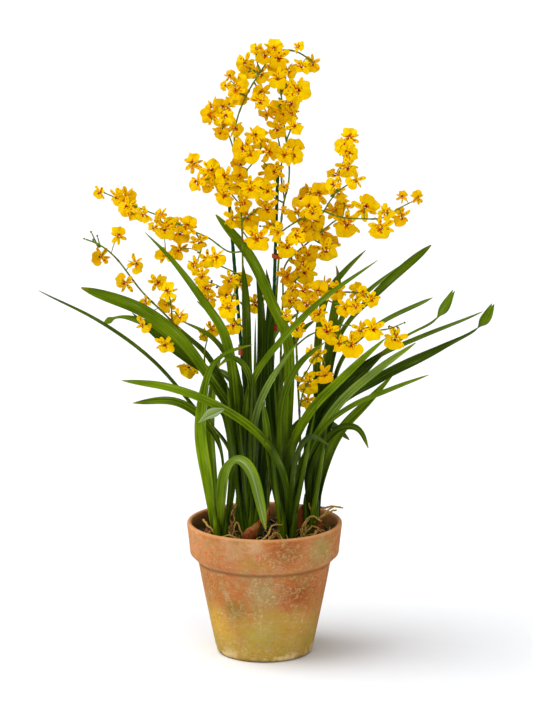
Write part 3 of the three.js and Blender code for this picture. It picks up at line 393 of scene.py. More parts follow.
# %% A curve through points
class Curve:
    def __init__(self, points):
        self.points = np.array(points, float)
        first = 2 * self.points[0] - self.points[1]
        last = 2 * self.points[-1] - self.points[-2]
        self.padded = np.vstack([first, self.points, last])
        self.times = np.linspace(0, 1, 201)
        steps = np.linalg.norm(np.diff(self.raw(self.times), axis=0), axis=1)
        self.travel = np.concatenate([[0], np.cumsum(steps)])
        self.length = self.travel[-1]

    def raw(self, times):
        place = np.clip(np.asarray(times, float), 0, 1) * (len(self.points) - 1)
        index = np.minimum(place.astype(int), len(self.points) - 2)
        weight = (place - index)[:, None]
        p0, p1, p2, p3 = (self.padded[index + k] for k in range(4))
        d0, d1, d2 = (np.sqrt(np.linalg.norm(b - a, axis=1))[:, None]
                      for a, b in ((p0, p1), (p1, p2), (p2, p3)))
        start = ((p1 - p0) / d0 - (p2 - p0) / (d0 + d1) + (p2 - p1) / d1) * d1
        end = ((p2 - p1) / d1 - (p3 - p1) / (d1 + d2) + (p3 - p2) / d2) * d1
        square, cube = 3 * p2 - 3 * p1 - 2 * start - end, 2 * p1 - 2 * p2 + start + end
        return p1 + weight * (start + weight * (square + weight * cube))

    def time(self, shares):
        return np.interp(np.asarray(shares, float) * self.length, self.travel, self.times)

    def spaced(self, count):
        return self.raw(self.time(np.linspace(0, 1, count + 1)))

    def tangents(self, shares):
        times = self.time(shares)
        step = self.raw(times + 1e-4) - self.raw(times - 1e-4)
        return step / np.linalg.norm(step, axis=1)[:, None]


# %% [markdown]
# ## Finished meshes
#
# One helper turns a bmesh in millimetres into an object in metres. The object stays at the origin
# and its place is in its mesh, rides on the plant's one body, and names the finish that it takes.


# %% From a bmesh to a piece
def to_mesh(name, bm):
    mesh = bpy.data.meshes.new(name)
    bm.to_mesh(mesh)
    bm.free()
    return mesh


def finish_piece(name, bm, material, replaces=()):
    bmesh.ops.scale(bm, vec=(0.001, 0.001, 0.001), verts=bm.verts)
    mesh = to_mesh(name, bm)
    mesh.materials.append(material)
    mesh.shade_smooth()
    piece = put_in_scene(name, mesh)
    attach(piece, "root")
    if replaces:
        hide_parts(*replaces)
    print(name, len(mesh.polygons), "faces")
    return piece


def subdivide(piece):
    modifier = piece.modifiers.new("smooth", "SUBSURF")
    modifier.levels = modifier.render_levels = 1


def thicken(piece, millimetres):
    modifier = piece.modifiers.new("thickness", "SOLIDIFY")
    modifier.thickness = millimetres / 1000
    modifier.offset = 0


# %% Steps that many pieces share
def add_copy(bm, mesh):
    """Adds a copy of a mesh and gives its vertices."""
    first = len(bm.verts)
    bm.from_mesh(mesh)
    bm.verts.ensure_lookup_table()
    return bm.verts[first:]


def lay_map(verts, layer, spots):
    """Writes the UV map of the faces round some vertices, from one place for each vertex."""
    for face in {face for vert in verts for face in vert.link_faces}:
        for loop in face.loops:
            loop[layer].uv = spots[loop.vert]


def spin_profile(bm, profile, steps, closed):
    """Spins a profile of (radius, height) round the upright axis, as on a potter's wheel."""
    verts = [bm.verts.new((radius, 0, z)) for radius, z in profile]
    following = verts[1:] + verts[:1] if closed else verts[1:]
    edges = [bm.edges.new(pair) for pair in zip(verts, following)]
    bmesh.ops.spin(bm, geom=verts + edges, cent=(0, 0, 0), axis=(0, 0, 1), dvec=(0, 0, 0),
                   angle=2 * math.pi, steps=steps, use_merge=True, use_duplicate=False)


def close_seams(bm, gap):
    bmesh.ops.remove_doubles(bm, verts=bm.verts, dist=gap)
    bmesh.ops.recalc_face_normals(bm, faces=bm.faces)


# %% [markdown]
# ## Materials
#
# Colours are written as sRGB hex values and turned into linear light by one function. One more
# function adds a node with its settings and links, so a material reads as a short list of steps.
# Inputs in a dictionary go to sockets by name. Inputs in a list fill the sockets in order: share
# and two colours for a Mix node, and value, source range and target range for a Map Range node.


# %% Colour and nodes
def linear(code):
    shares = [int(code[i:i + 2], 16) / 255 for i in (1, 3, 5)]
    return [s / 12.92 if s <= 0.04045 else ((s + 0.055) / 1.055) ** 2.4 for s in shares] + [1.0]


def feed(tree, socket, value):
    """Links a socket to a node's output, or sets it to a number, a vector or a hex colour."""
    if isinstance(value, bpy.types.NodeSocket):
        tree.links.new(value, socket)
    else:
        socket.default_value = linear(value) if isinstance(value, str) else value


def add(tree, kind, inputs, out=None, **settings):
    """Adds a node, and gives the output that is named, or its first one in use."""
    made = tree.nodes.new(kind)
    for name, value in settings.items():
        setattr(made, name, value)
    if isinstance(inputs, list):
        pairs = zip([socket for socket in made.inputs if socket.enabled], inputs)
    else:
        pairs = [(made.inputs[name], value) for name, value in inputs.items()]
    for socket, value in pairs:
        feed(tree, socket, value)
    return made.outputs[out] if out else next(socket for socket in made.outputs if socket.enabled)


def new_material(name):
    material = bpy.data.materials.new(name)
    material.use_nodes = True
    return material, material.node_tree


def dress(tree, inputs):
    """Gives the surface shader its colour, relief and constants."""
    for name, value in inputs.items():
        feed(tree, tree.nodes["Principled BSDF"].inputs[name], value)


# %% [markdown]
# ## The pot
#
# The real pot is thrown or pressed terracotta, fired without glaze. It is a turned shape, so its
# wall is one closed profile spun round the axis. Lips and corners are rounded in the profile,
# because a potter's sponge never leaves a sharp edge, and a faint wobble keeps it from looking
# machined. Years of watering have coloured it: orange clay above, olive algae low down, chalky
# lime where water dried, and a dark damp inside.


# %% Terracotta
# Old stains of the pot: place in metres, radius, colour and strength.
STAINS = [
    ((-0.002, -0.080, 0.092), 0.032, "#9C8C58", 0.85),  # lime bloom where water seeps
    ((0.044, -0.066, 0.088), 0.032, "#96490F", 1.0),  # bare clay
    ((-0.060, -0.052, 0.096), 0.032, "#B66624", 0.75),
    ((-0.084, -0.040, 0.145), 0.040, "#D88E58", 0.9),  # pale dry clay, partly painted light on the lit side
    ((0.070, -0.064, 0.143), 0.030, "#A2904E", 0.8),  # green film on the band
    ((0.026, -0.088, 0.150), 0.024, "#9C4C1A", 1.0),
    ((-0.040, -0.083, 0.150), 0.020, "#CC9470", 0.7),
    ((-0.054, -0.034, 0.045), 0.030, "#D8A83A", 0.9),  # ochre low on the lit side
    ((-0.034, -0.062, 0.068), 0.018, "#7C6C22", 0.8),
    ((-0.004, -0.066, 0.042), 0.026, "#AEA24C", 0.7),  # moss film
    ((0.036, -0.054, 0.048), 0.024, "#BC9638", 0.85),
    ((0.060, -0.070, 0.118), 0.018, "#A8713C", 0.6),
    ((-0.012, -0.092, 0.157), 0.018, "#D0A878", 0.7),  # lime under the lip
    ((0.050, 0.070, 0.090), 0.034, "#B9A678", 0.8),
    ((-0.070, 0.050, 0.110), 0.030, "#9A4E18", 0.7),
]


def terracotta():
    material, tree = new_material("weathered_terracotta")  # matt, mottled, gritty
    place = add(tree, "ShaderNodeTexCoord", {}, "Object")
    height = add(tree, "ShaderNodeSeparateXYZ", [place], "Z")
    inside = add(tree, "ShaderNodeAttribute", {}, "Fac", attribute_name="inside")

    def patches(per_metre, detail, low, high, roughness=0.6, shift=0.0, most=1.0):
        moved = add(tree, "ShaderNodeMapping", {"Vector": place, "Location": (shift,) * 3})
        cloud = add(tree, "ShaderNodeTexNoise", {
            "Vector": moved, "Scale": per_metre, "Detail": detail, "Roughness": roughness})
        return add(tree, "ShaderNodeMapRange", [cloud, low, high, 0, most],
                   interpolation_type="SMOOTHSTEP")

    low_down = add(tree, "ShaderNodeMapRange", [height, 0.078, 0.022])
    creeping = add(tree, "ShaderNodeMath", [low_down, patches(22, 9, 0.25, 0.75, 0.72, 7.7)],
                   operation="ADD")
    coats = [("#B29436", add(tree, "ShaderNodeMapRange", [creeping, 0.5, 1.3, 0, 0.92]))]  # algae
    ragged = patches(110, 9, 0.26, 0.74, 0.74, 11.3)
    for spot, radius, code, strength in STAINS:
        gap = add(tree, "ShaderNodeVectorMath", [place, spot], operation="DISTANCE")
        near = add(tree, "ShaderNodeMapRange", [gap, radius * 1.3, 0.0])
        torn = add(tree, "ShaderNodeMath", [near, ragged], operation="ADD")
        coats.append((code, add(tree, "ShaderNodeMapRange", [torn, 0.62, 1.36, 0, strength])))
    chalk = add(tree, "ShaderNodeMath", [
        patches(300, 6, 0.5, 0.62, 0.75, 9.1, 0.4), patches(42, 5, 0.42, 0.62, 0.6, 3.9)],
        operation="MULTIPLY")
    pulled = add(tree, "ShaderNodeMapping", {"Vector": place, "Scale": (70, 70, 620)})
    wipes = add(tree, "ShaderNodeTexNoise", {"Vector": pulled, "Scale": 1, "Detail": 6})
    # Painted shadow: a dark line in the neck, just under the band's overhang.
    from_band_shadow_line = add(tree, "ShaderNodeMath", [height, (BAND_FOOT - 9) / 1000], operation="SUBTRACT")
    from_band_shadow_line = add(tree, "ShaderNodeMath", [from_band_shadow_line], operation="ABSOLUTE")
    at_foot = add(tree, "ShaderNodeMapRange", [height, 0.016, 0.003])
    chipped = add(tree, "ShaderNodeMath", [at_foot, patches(48, 6, 0.46, 0.58, shift=8.8)],
                  operation="MULTIPLY")
    rim = POT_HEIGHT / 1000
    coats += [
        ("#8C8444", patches(45, 9, 0.52, 0.68, 0.75, 1.3, 0.5)),  # green film
        ("#C8B082", patches(60, 9, 0.5, 0.7, 0.8, 5.2, 0.34)),  # thin lime
        ("#7A4A1E", patches(200, 7, 0.5, 0.72, 0.8, 2.2, 0.42)),  # brown specks
        ("#DCC89C", chalk),
        ("#CFA878", add(tree, "ShaderNodeMapRange", [wipes, 0.54, 0.74, 0, 0.35])),
        # painted shadow under the band
        ("#5E3F1C", add(tree, "ShaderNodeMapRange", [from_band_shadow_line, 0.004, 0.0005, 0, 0.6])),
        ("#E6CC94", chipped),
        # partly worn clay, partly painted highlight: the top of the lip is lighter
        ("#DFA068", add(tree, "ShaderNodeMapRange", [height, rim - 0.004, rim - 0.0008, 0, 0.6])),
        ("#70501C", add(tree, "ShaderNodeMapRange", [height, 0.0045, 0.001, 0, 0.7])),  # dark foot: damp clay and painted contact shade
    ]
    colour = add(tree, "ShaderNodeMix", [patches(16, 9, 0.35, 0.65, 0.72), "#B86A2C", "#C07448"],
                 data_type="RGBA")
    for code, share in coats:
        colour = add(tree, "ShaderNodeMix", [share, colour, code], data_type="RGBA")
    soot = add(tree, "ShaderNodeMix", [patches(30, 5, 0.35, 0.7, shift=4.4), "#45300C", "#8A6A22"],
               data_type="RGBA")
    grit = add(tree, "ShaderNodeTexNoise", {"Vector": place, "Scale": 900, "Detail": 5})
    relief = add(tree, "ShaderNodeMath", [grit, patches(120, 6, 0.3, 0.7, shift=6.6)],
                 operation="ADD")
    bump = add(tree, "ShaderNodeBump", {"Strength": 0.5, "Distance": 0.0008, "Height": relief})
    dress(tree, {
        "Base Color": add(tree, "ShaderNodeMix", [inside, colour, soot], data_type="RGBA"),
        "Normal": bump, "Roughness": 0.88, "Specular IOR Level": 0.2})
    return material


clay = terracotta()
print(clay.name, len(clay.node_tree.nodes), "nodes")

# %% Spin the pot
POT_OUTSIDE = [
    (DRAIN_RADIUS, 0), (BASE_RADIUS - 4, 0), (BASE_RADIUS - 1.2, 0.8), (BASE_RADIUS, 3.5),
    (65.2, 33), (71, 62), (76.6, 90), (NECK_RADIUS - 0.9, BAND_FOOT - 12),
    (NECK_RADIUS - 0.2, BAND_FOOT - 9.6), (NECK_RADIUS + 0.9, BAND_FOOT - 8.8),
    (86, BAND_FOOT - 4.4), (89.2, BAND_FOOT - 1.4), (90.1, BAND_FOOT - 0.5),
    (90.5, BAND_FOOT + 0.7), (92.2, BAND_FOOT + 18), (94.2, POT_HEIGHT - 6),
    (94.7, POT_HEIGHT - 2.2), (93.6, POT_HEIGHT - 0.5), (92.2, POT_HEIGHT),
]
POT_INSIDE = [
    (89.6, POT_HEIGHT - 0.5), (88.6, POT_HEIGHT - 2.2), (86.6, 146), (84.5, BAND_FOOT - 1),
    (NECK_RADIUS - 7.5, BAND_FOOT - 10), (51.5, FLOOR_THICKNESS), (DRAIN_RADIUS, FLOOR_THICKNESS),
]
# Heights of the wall, and the radius at its middle there: what is nearer the axis is the inside.
WALL_HEIGHTS = [FLOOR_THICKNESS, BAND_FOOT - 10, BAND_FOOT, POT_HEIGHT - 8]
WALL_MIDDLE = [52, 74.5, 86, 88]
POT_STEPS = 112
WOBBLE, WOBBLE_LENGTH, FLOOR_RADIUS = 0.004, 48, 40

bm = bmesh.new()
spin_profile(bm, POT_OUTSIDE + POT_INSIDE, POT_STEPS, closed=True)
close_seams(bm, 1e-4)
inside_layer = bm.verts.layers.float.new("inside")
for vert in bm.verts:
    radius = math.hypot(vert.co.x, vert.co.y)
    is_inside = radius < np.interp(vert.co.z, WALL_HEIGHTS, WALL_MIDDLE)
    vert[inside_layer] = 1.0 if is_inside and 5 < vert.co.z < POT_HEIGHT - 3 else 0.0
    if radius > FLOOR_RADIUS:
        swell = 1 + WOBBLE * noise.noise(vert.co / WOBBLE_LENGTH)
        vert.co.x *= swell
        vert.co.y *= swell
pot = finish_piece("clay_pot", bm, clay, ["pot"])
subdivide(pot)

# %% [markdown]
# ## The bark
#
# Orchids grow in coarse chips of fir bark, not in soil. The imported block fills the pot, and a
# scatter of chips lies on top. Every chip starts as a cube that is cut once and pulled about by
# noise, so it is a broken lump of two dozen faces.


# %% Damp fir bark
def damp_bark():
    material, tree = new_material("damp_fir_bark")  # dark, layered, almost no shine
    place = add(tree, "ShaderNodeTexCoord", {}, "Object")
    flakes = add(tree, "ShaderNodeTexNoise", {"Vector": place, "Scale": 160, "Detail": 6})
    layers = add(tree, "ShaderNodeTexNoise", {"Vector": place, "Scale": 900, "Detail": 3})
    share = add(tree, "ShaderNodeMapRange", [flakes, 0.35, 0.7])
    colour = add(tree, "ShaderNodeMix", [share, "#100904", "#48260F"], data_type="RGBA")
    dust = add(tree, "ShaderNodeMapRange", [layers, 0.6, 0.8])
    bump = add(tree, "ShaderNodeBump", {"Strength": 0.6, "Distance": 0.0008, "Height": layers})
    dress(tree, {
        "Base Color": add(tree, "ShaderNodeMix", [dust, colour, "#744C28"], data_type="RGBA"),
        "Normal": bump, "Roughness": 0.82})
    return material


bark = damp_bark()
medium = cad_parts["growing_medium"]
medium.data.materials.clear()
medium.data.materials.append(bark)
print("bark on", medium.name)

# %% Scatter the chips
CHIP_COUNT = 210
CHIP_REACH = 80
chip_dice = Dice(77)
bm = bmesh.new()
bmesh.ops.create_cube(bm, size=1)
bmesh.ops.subdivide_edges(bm, edges=bm.edges, cuts=1, use_grid_fill=True)
block = to_mesh("chip_block", bm)
bm = bmesh.new()
for _ in range(CHIP_COUNT):
    lump = add_copy(bm, block)
    shift = Vector([chip_dice.roll(-40, 40) for _ in range(3)])
    for vert in lump:
        vert.co = vert.co.normalized() * 0.3 + vert.co * 0.55
        vert.co += noise.noise_vector(vert.co * 1.7 + shift) * 0.22
    size = Vector((chip_dice.roll(8, 17), chip_dice.roll(5, 10), chip_dice.roll(3, 6)))
    reach = CHIP_REACH * math.sqrt(chip_dice.roll())
    bearing = chip_dice.roll(0, 2 * math.pi)
    turn = Matrix.Rotation(chip_dice.roll(0, math.pi), 4, "Z")
    tilt = Matrix.Rotation(chip_dice.roll(-0.6, 0.6), 4, "X")
    tilt = tilt @ Matrix.Rotation(chip_dice.roll(-0.5, 0.5), 4, "Y")
    spot = Matrix.Translation((reach * math.cos(bearing), reach * math.sin(bearing),
                               SOIL_TOP - 3.5 + chip_dice.roll(0, 3)))
    bmesh.ops.transform(bm, matrix=spot @ turn @ tilt @ Matrix.Diagonal((*size, 1)), verts=lump)
finish_piece("bark_chips", bm, bark)

# %% [markdown]
# ## Living leaf
#
# A strap leaf is waxy and carries fine parallel veins from base to tip. The pattern follows the
# blade, so it reads a UV map in real metres: across the blade in U and along it in V. Real veins
# are about a millimetre apart, finer than a view of the whole plant can show, so they are drawn
# nearly twice as wide. Three attributes tell how light the leaf is, painted shade included, where
# it has dried, and where it is pale: at the midrib, on the underside and under a painted sheen.


# %% Waxy leaf
def waxy_leaf():
    material, tree = new_material("waxy_strap_leaf")  # satin wax, long veins
    grid = add(tree, "ShaderNodeUVMap", {}, uv_map="blade")
    shade, aged, underside_and_sheen = (add(tree, "ShaderNodeAttribute", {}, "Fac", attribute_name=name)
                          for name in ("shade", "aged", "underside_and_sheen"))

    def streaks(across, along, low, high):
        pulled = add(tree, "ShaderNodeMapping", {"Vector": grid, "Scale": (across, along, 1)})
        cloud = add(tree, "ShaderNodeTexNoise", {"Vector": pulled, "Scale": 1, "Detail": 3})
        return add(tree, "ShaderNodeMapRange", [cloud, low, high], interpolation_type="SMOOTHSTEP")

    veins, cloud = streaks(560, 8, 0.3, 0.7), streaks(70, 20, 0.3, 0.72)
    deep = add(tree, "ShaderNodeMix", [shade, "#020A00", "#264A00"], data_type="RGBA")
    fresh = add(tree, "ShaderNodeMix", [shade, "#122C00", "#A6C412"], data_type="RGBA")
    colour = add(tree, "ShaderNodeMix", [veins, deep, fresh], data_type="RGBA")
    bright = add(tree, "ShaderNodeMix", [0.45, colour, fresh], data_type="RGBA")
    mottled = add(tree, "ShaderNodeMath", [cloud, 0.55], operation="MULTIPLY")
    colour = add(tree, "ShaderNodeMix", [mottled, bright, deep], data_type="RGBA")
    across = add(tree, "ShaderNodeSeparateXYZ", [grid], "X")
    off_middle = add(tree, "ShaderNodeMath", [across], operation="ABSOLUTE")
    # A lighter midrib, partly its own colour and partly painted highlight, stronger on lighter
    # leaves.
    midrib = add(tree, "ShaderNodeMath", [
        add(tree, "ShaderNodeMapRange", [off_middle, 0.0011, 0.0002]),
        add(tree, "ShaderNodeMapRange", [shade, 0, 1, 0.12, 0.6])], operation="MULTIPLY")
    colour = add(tree, "ShaderNodeMix", [midrib, colour, "#749412"], data_type="RGBA")
    # Painted sheen: a pale streak beside the midrib stands in for a reflection on the wax.
    beside = add(tree, "ShaderNodeMath", [across, 0.0024], operation="SUBTRACT")
    beside = add(tree, "ShaderNodeMath", [beside], operation="ABSOLUTE")
    painted_sheen = add(tree, "ShaderNodeMath", [
        streaks(60, 14, 0.5, 0.72),
        add(tree, "ShaderNodeMapRange", [beside, 0.0022, 0.0, 0, 0.36])], operation="MULTIPLY")
    colour = add(tree, "ShaderNodeMix", [painted_sheen, colour, "#A9BC7C"], data_type="RGBA")
    # Pale where an underside shows, and where a painted sheen lies.
    pale = add(tree, "ShaderNodeMix", [veins, "#788C58", "#B0BE8C"], data_type="RGBA")
    colour = add(tree, "ShaderNodeMix", [underside_and_sheen, colour, pale], data_type="RGBA")
    bump = add(tree, "ShaderNodeBump", {"Strength": 0.3, "Distance": 0.0005, "Height": veins})
    dress(tree, {
        "Base Color": add(tree, "ShaderNodeMix", [aged, colour, "#9A7A28"], data_type="RGBA"),
        "Roughness": add(tree, "ShaderNodeMapRange", [cloud, 0, 1, 0.24, 0.4]),
        "Normal": bump,
        "Specular IOR Level": 0.24, "Specular Tint": "#B4DC60"})
    return material


leaf_green = waxy_leaf()
print(leaf_green.name)

# %% [markdown]
# ## Strap leaves
#
# Each leaf is a grid that is laid along its curve row by row. It is folded like a V where it clasps
# its bulb and opens towards the tip. The blade widens from its neck, keeps its width and then
# narrows to a point. Some leaves turn late in their length and show their flat side, and a few are
# creased, waisted or split.

# %% Habits of single leaves
BLADE_COLUMNS = 6
BLADE_THICKNESS = 0.9
# How light each leaf is, in the order of the leaf table: partly its own green and partly painted
# shade, so leaves deep inside are dark and outer ones light.
LEAF_TONES = [
    0.24, 0.34, 0.80, 0.60, 0.36, 0.22,
    0.50, 0.20, 0.50, 0.46, 0.26, 0.40, 0.40, 0.46, 0.16, 0.12, 0.50,
    0.66, 0.56, 0.54, 0.36, 0.74, 0.30, 0.44, 0.06, 0.10,
    0.34, 0.40, 0.34, 0.50, 0.36, 0.46, 0.30, 0.10, 0.50, 0.26, 0.02, 0.12,
    0.20, 0.14, 0.30, 0.10, 0.26, 0.16,
]
# Places along a leaf are shares of its length. A foot is how narrow it is and where it widens, a
# crease is where, how long and how deep, and a turn is where it starts and ends. A waist is where
# it starts, where it is narrowest, where the blade beyond it begins and how wide that blade is.
# Leaves 16 and 19 get a painted sheen on the middle of the blade, in place of a reflection.
HABITS = {
    0: {"width": 0.66},
    1: {"foot": (0.3, 0.4, 0.62)},
    2: {"width": 1.2, "crease": (0.86, 0.22, 0.56),
        "beyond": [(-64, 354), (-52, 367), (-33, 376), (-13, 381)]},  # it arches on
    3: {"width": 1.25, "crease": (0.53, 0.07, 0.4), "pale_midrib": 0.55},
    6: {"blunt": 9, "crease": (0.46, 0.2, 0.3)},
    8: {"blunt": 1.8},
    9: {"waist": (0.86, 0.96, 0.96, 8), "dry": 0},
    12: {"width": 0.72},
    13: {"width": 0.64},
    16: {"width": 0.75, "painted_sheen": 0.18},
    17: {"width": 0.78, "blunt": 6},
    18: {"blunt": 10},
    19: {"painted_sheen": 0.16},
    22: {"width": 0.85},
    25: {"width": 0.6, "dry": 0},
    28: {"width": 0.8, "blunt": 13, "crease": (0.64, 0.14, 0.5)},
    29: {"width": 0.7},
    30: {"width": 0.64, "blunt": 14, "turn": (0.99, 1.0)},
    31: {"waist": (0.5, 0.76, 0.885, 11), "turn": (0.86, 0.92), "split": 1.4, "dry": 0},
    33: {"width": 0.8, "waist": (0.66, 0.905, 0.905, 12), "turn": (0.88, 0.93), "split": 1.4,
         "dry": 0},
    35: {"width": 0.7},
    36: {"width": 0.8},
}
USUAL_WIDTH, USUAL_FOOT, USUAL_TURN = 0.93, (0.55, 0.05, 0.4), (0.68, 0.95)
print("leaves with habits of their own:", len(HABITS))

# %% Leaf rows
leaf_dice = Dice(4242)


def leaf_curve(leaf, beyond=()):
    clump = CLUMPS[leaf.clump]
    offset = np.array([(leaf.route[0][0] - clump["x"]) * 0.35, leaf.depth_root - clump["y"]])
    reach = np.linalg.norm(offset)
    offset *= min(1, (clump["radius"] - 5) / max(reach, 1e-6))
    points = [np.array([clump["x"] + offset[0], clump["y"] + offset[1], SOIL_TOP + 1])]
    for i, (x, z) in enumerate(leaf.route):
        points.append(at(x, z, mix(leaf.depth_root, leaf.depth_tip, (i + 1) / len(leaf.route))))
    return Curve(points + [at(x, z, leaf.depth_tip) for x, z in beyond])


def half_width(leaf, habit, share, blunt):
    slim, start, end = habit.get("foot", USUAL_FOOT)
    root = mix(slim, 1, ease(start, end, share))
    tip = 1 if share < 0.5 else (1 - ((share - 0.5) / 0.503) ** blunt) ** 0.8
    half = leaf.width / 2 * habit.get("width", USUAL_WIDTH) * root * max(0.02, tip)
    if "crease" in habit:
        where, reach, depth = habit["crease"]
        half *= 1 - depth * math.exp(-((share - where) / reach) ** 2)
    if "waist" in habit:
        start, narrow, turn, width = habit["waist"]
        beyond = max(0, (share - turn) / (1 - turn))
        half = mix(half, 1.5, ease(start, narrow, share)) * (1 - beyond)
        half += width / 2 * math.sin(math.pi * beyond ** 0.8)
    return half + habit.get("split", 0) * ease(0.96, 1, share)


def blade_frames(curve, leaf, turn, shares):
    """Centre, direction across, upper side and direction along for each row of a leaf."""
    lean = np.sign(curve.points[-1][0] - curve.points[0][0])
    centres, tangents = curve.raw(curve.time(shares)), curve.tangents(shares)
    rows = []
    for share, centre, along in zip(shares, centres, tangents):
        upper = np.cross(along, [0, 1, 0])
        upper *= lean / np.linalg.norm(upper)
        front = np.cross(along, upper)
        front *= -np.sign(front[1]) or 1
        face = math.radians(mix(leaf.face_root, leaf.face_tip, ease(*turn, share)))
        normal = upper * math.cos(face) + front * math.sin(face)
        rows.append((centre, np.cross(along, normal), normal, along))
    return rows


def add_blade(bm, leaf, tone, habit, layers):
    uv, shade, aged, underside_and_sheen = layers
    curve = leaf_curve(leaf, habit.get("beyond", ()))
    row_step = 5 if "waist" in habit else 11
    count = max(14, round(curve.length / row_step))
    shares = np.linspace(0, 0.998, count + 1)
    rows = blade_frames(curve, leaf, habit.get("turn", USUAL_TURN), shares)
    made = bmesh.ops.create_grid(bm, x_segments=BLADE_COLUMNS, y_segments=count, size=0.5)["verts"]
    hidden = 0.2 if leaf.depth_root > -6 else 0.8  # painted shade: tone a leaf keeps at its foot, less for those further back
    ripple, phase = leaf_dice.roll(26, 44), leaf_dice.roll(0, 6)
    dry = habit.get("dry", leaf_dice.roll(0.0, 0.9))
    if abs(leaf.face_tip - leaf.face_root) > 40:
        blunt = 7.5
    else:
        droops = leaf.route[-1][1] < leaf.route[-2][1]
        blunt = 5.5 if droops else leaf_dice.roll(2.6, 4.4)
    blunt = habit.get("blunt", blunt)
    spots = {}
    for vert in made:
        side, share = vert.co.x * 2, vert.co.y + 0.5
        centre, across, normal, along = rows[round(share * count)]
        if "split" in habit:
            centre = centre - along * 5 * (1 - abs(side)) * ease(0.93, 1, share)
        half = half_width(leaf, habit, share, blunt)
        fold = half * mix(0.9, 0.5, min(1, share * 1.8)) * (1 - 0.8 * ease(0.86, 1, share))
        lift = fold * (abs(side) ** 1.25 - 0.5)
        lift += 0.05 * leaf.width * abs(side) * math.sin(share * curve.length / ripple + phase)
        vert.co = Vector(centre + across * side * half + normal * lift)
        vert[shade] = tone * mix(hidden, 1.0, ease(0.0, 0.5, share))
        if "waist" in habit:  # the turned blade catches more light
            turn = habit["waist"][2]
            vert[shade] = mix(vert[shade], 0.5, ease(turn, turn + 0.03, share))
        if "beyond" in habit:  # and an arched one less
            vert[shade] *= 1 - 0.5 * ease(0.5, 0.8, share)
        vert[aged] = dry * ease(0.975, 1, share) + 0.5 * dry * ease(0.05, 0.0, share)
        # painted sheen on the middle of some blades, and a pale midrib where an underside shows
        sheen_share = habit.get("painted_sheen", 0) * ease(0.4, 0.7, share) * ease(1.0, 0.85, share)
        midrib = habit.get("pale_midrib", 0) * ease(0.5, 0.6, share) * (1 - abs(side)) ** 2
        vert[underside_and_sheen] = sheen_share + midrib
        spots[vert] = (side * half / 1000, share * curve.length / 1000)
    lay_map(made, uv, spots)


# %% Sheaths and the turned tip
# Short clasping leaves at the foot of a shoot, and thin grassy ones inside it: foot, tip, width.
SHEATHS = {
    "middle": [((-24, -27, 143), (-32, -27, 214), 9), ((-21, -29, 143), (-25, -25, 226), 10),
               ((-18, -30, 143), (-16, -27, 216), 11), ((-15, -28, 143), (-7, -24, 206), 9),
               ((-27, -25, 143), (-34, -22, 184), 8), ((-12, -14, 143), (-11, -8, 418), 6),
               ((-14, -24, 143), (-38, -18, 319), 5), ((-26, -24, 143), (-45, -36, 346), 6),
               ((-18, -28, 143), (-30, -44, 300), 6), ((-22, -20, 143), (-14, -40, 352), 6)],
    "centre": [((26, -24, 143), (11, -10, 349), 6), ((25, -30, 143), (20, -32, 196), 9),
               ((33, -30, 143), (38, -32, 204), 9), ((22, -28, 143), (4, -50, 296), 7),
               ((30, -26, 143), (62, -48, 318), 6)],
    "left": [((-56, -38, 143), (-60, -40, 192), 9), ((-48, -36, 143), (-46, -39, 184), 8)],
    "right": [((52, 1, 143), (49, -2, 198), 9), ((60, 2, 143), (65, -1, 192), 8),
              ((54, -2, 143), (76, -30, 296), 7)],
    "back": [((-14, 66, 143), (-18, 70, 196), 9), ((-4, 66, 143), (0, 70, 188), 9)],
}
SHEATH_MIDDLE = 40  # a sheath nearer than this faces the front, and one behind it the back
# The one leaf tip that is turned over: midrib points and how wide each half is there, then how pale
# its underside is from the upper edge to the lower one.
TURNED_TIP = [((-47, -68, 317), 0.6, 0.6), ((-54, -71, 316), 4.0, 4.6),
              ((-60, -72, 313.5), 6.8, 6.4), ((-66, -72, 310.5), 7.6, 4.6),
              ((-72, -71, 306), 3.2, 2.2), ((-79, -70, 300), 0.2, 0.2)]
TURNED_PALE = (0.95, 0.6, 0.3, 1.0, 0.9)
print("sheaths and thin leaves:", sum(len(rows) for rows in SHEATHS.values()))


def add_sheath(bm, foot, tip, width, layers):
    uv, shade, aged, _ = layers
    foot, tip = Vector(foot), Vector(tip)
    along = tip - foot
    outward = Vector((0, -1 if foot.y < SHEATH_MIDDLE else 1, 0))
    across = along.cross(outward).normalized()
    made = bmesh.ops.create_grid(bm, x_segments=4, y_segments=8, size=0.5)["verts"]
    tone = leaf_dice.roll(0.25, 0.7)
    spots = {}
    for vert in made:
        side, share = vert.co.x * 2, vert.co.y + 0.5
        half = width / 2 * (0.72 + 0.28 * ease(0, 0.3, share)) * (1 - share ** 3.2) ** 0.8
        bow = 3.2 * math.sin(math.pi * min(1, share * 1.25)) + half * 0.7 * (1 - side * side)
        vert.co = foot + along * share + across * side * half + outward * bow
        vert[shade], vert[aged] = tone * mix(1.0, 0.4, share), 0.25 * ease(0.12, 0.0, share)
        spots[vert] = (side * half / 1000, share * along.length / 1000)
    lay_map(made, uv, spots)


def add_turned_tip(bm, layers):
    uv, shade, _, underside_and_sheen = layers
    columns, rows = len(TURNED_PALE) - 1, len(TURNED_TIP) - 1
    made = bmesh.ops.create_grid(bm, x_segments=columns, y_segments=rows, size=0.5)["verts"]
    spots = {}
    for vert in made:
        column, row = round((vert.co.x + 0.5) * columns), round((vert.co.y + 0.5) * rows)
        (x, y, z), above, below = TURNED_TIP[row]
        out = (above, above / 2, 0, -below / 2, -below)[column]
        vert.co = (x - 0.35 * out, y - abs(out) * 0.45, z + 0.94 * out)
        vert[shade], vert[underside_and_sheen] = 0.6, TURNED_PALE[column]
        spots[vert] = ((column - 2) * 0.003, row * 0.006)
    lay_map(made, uv, spots)


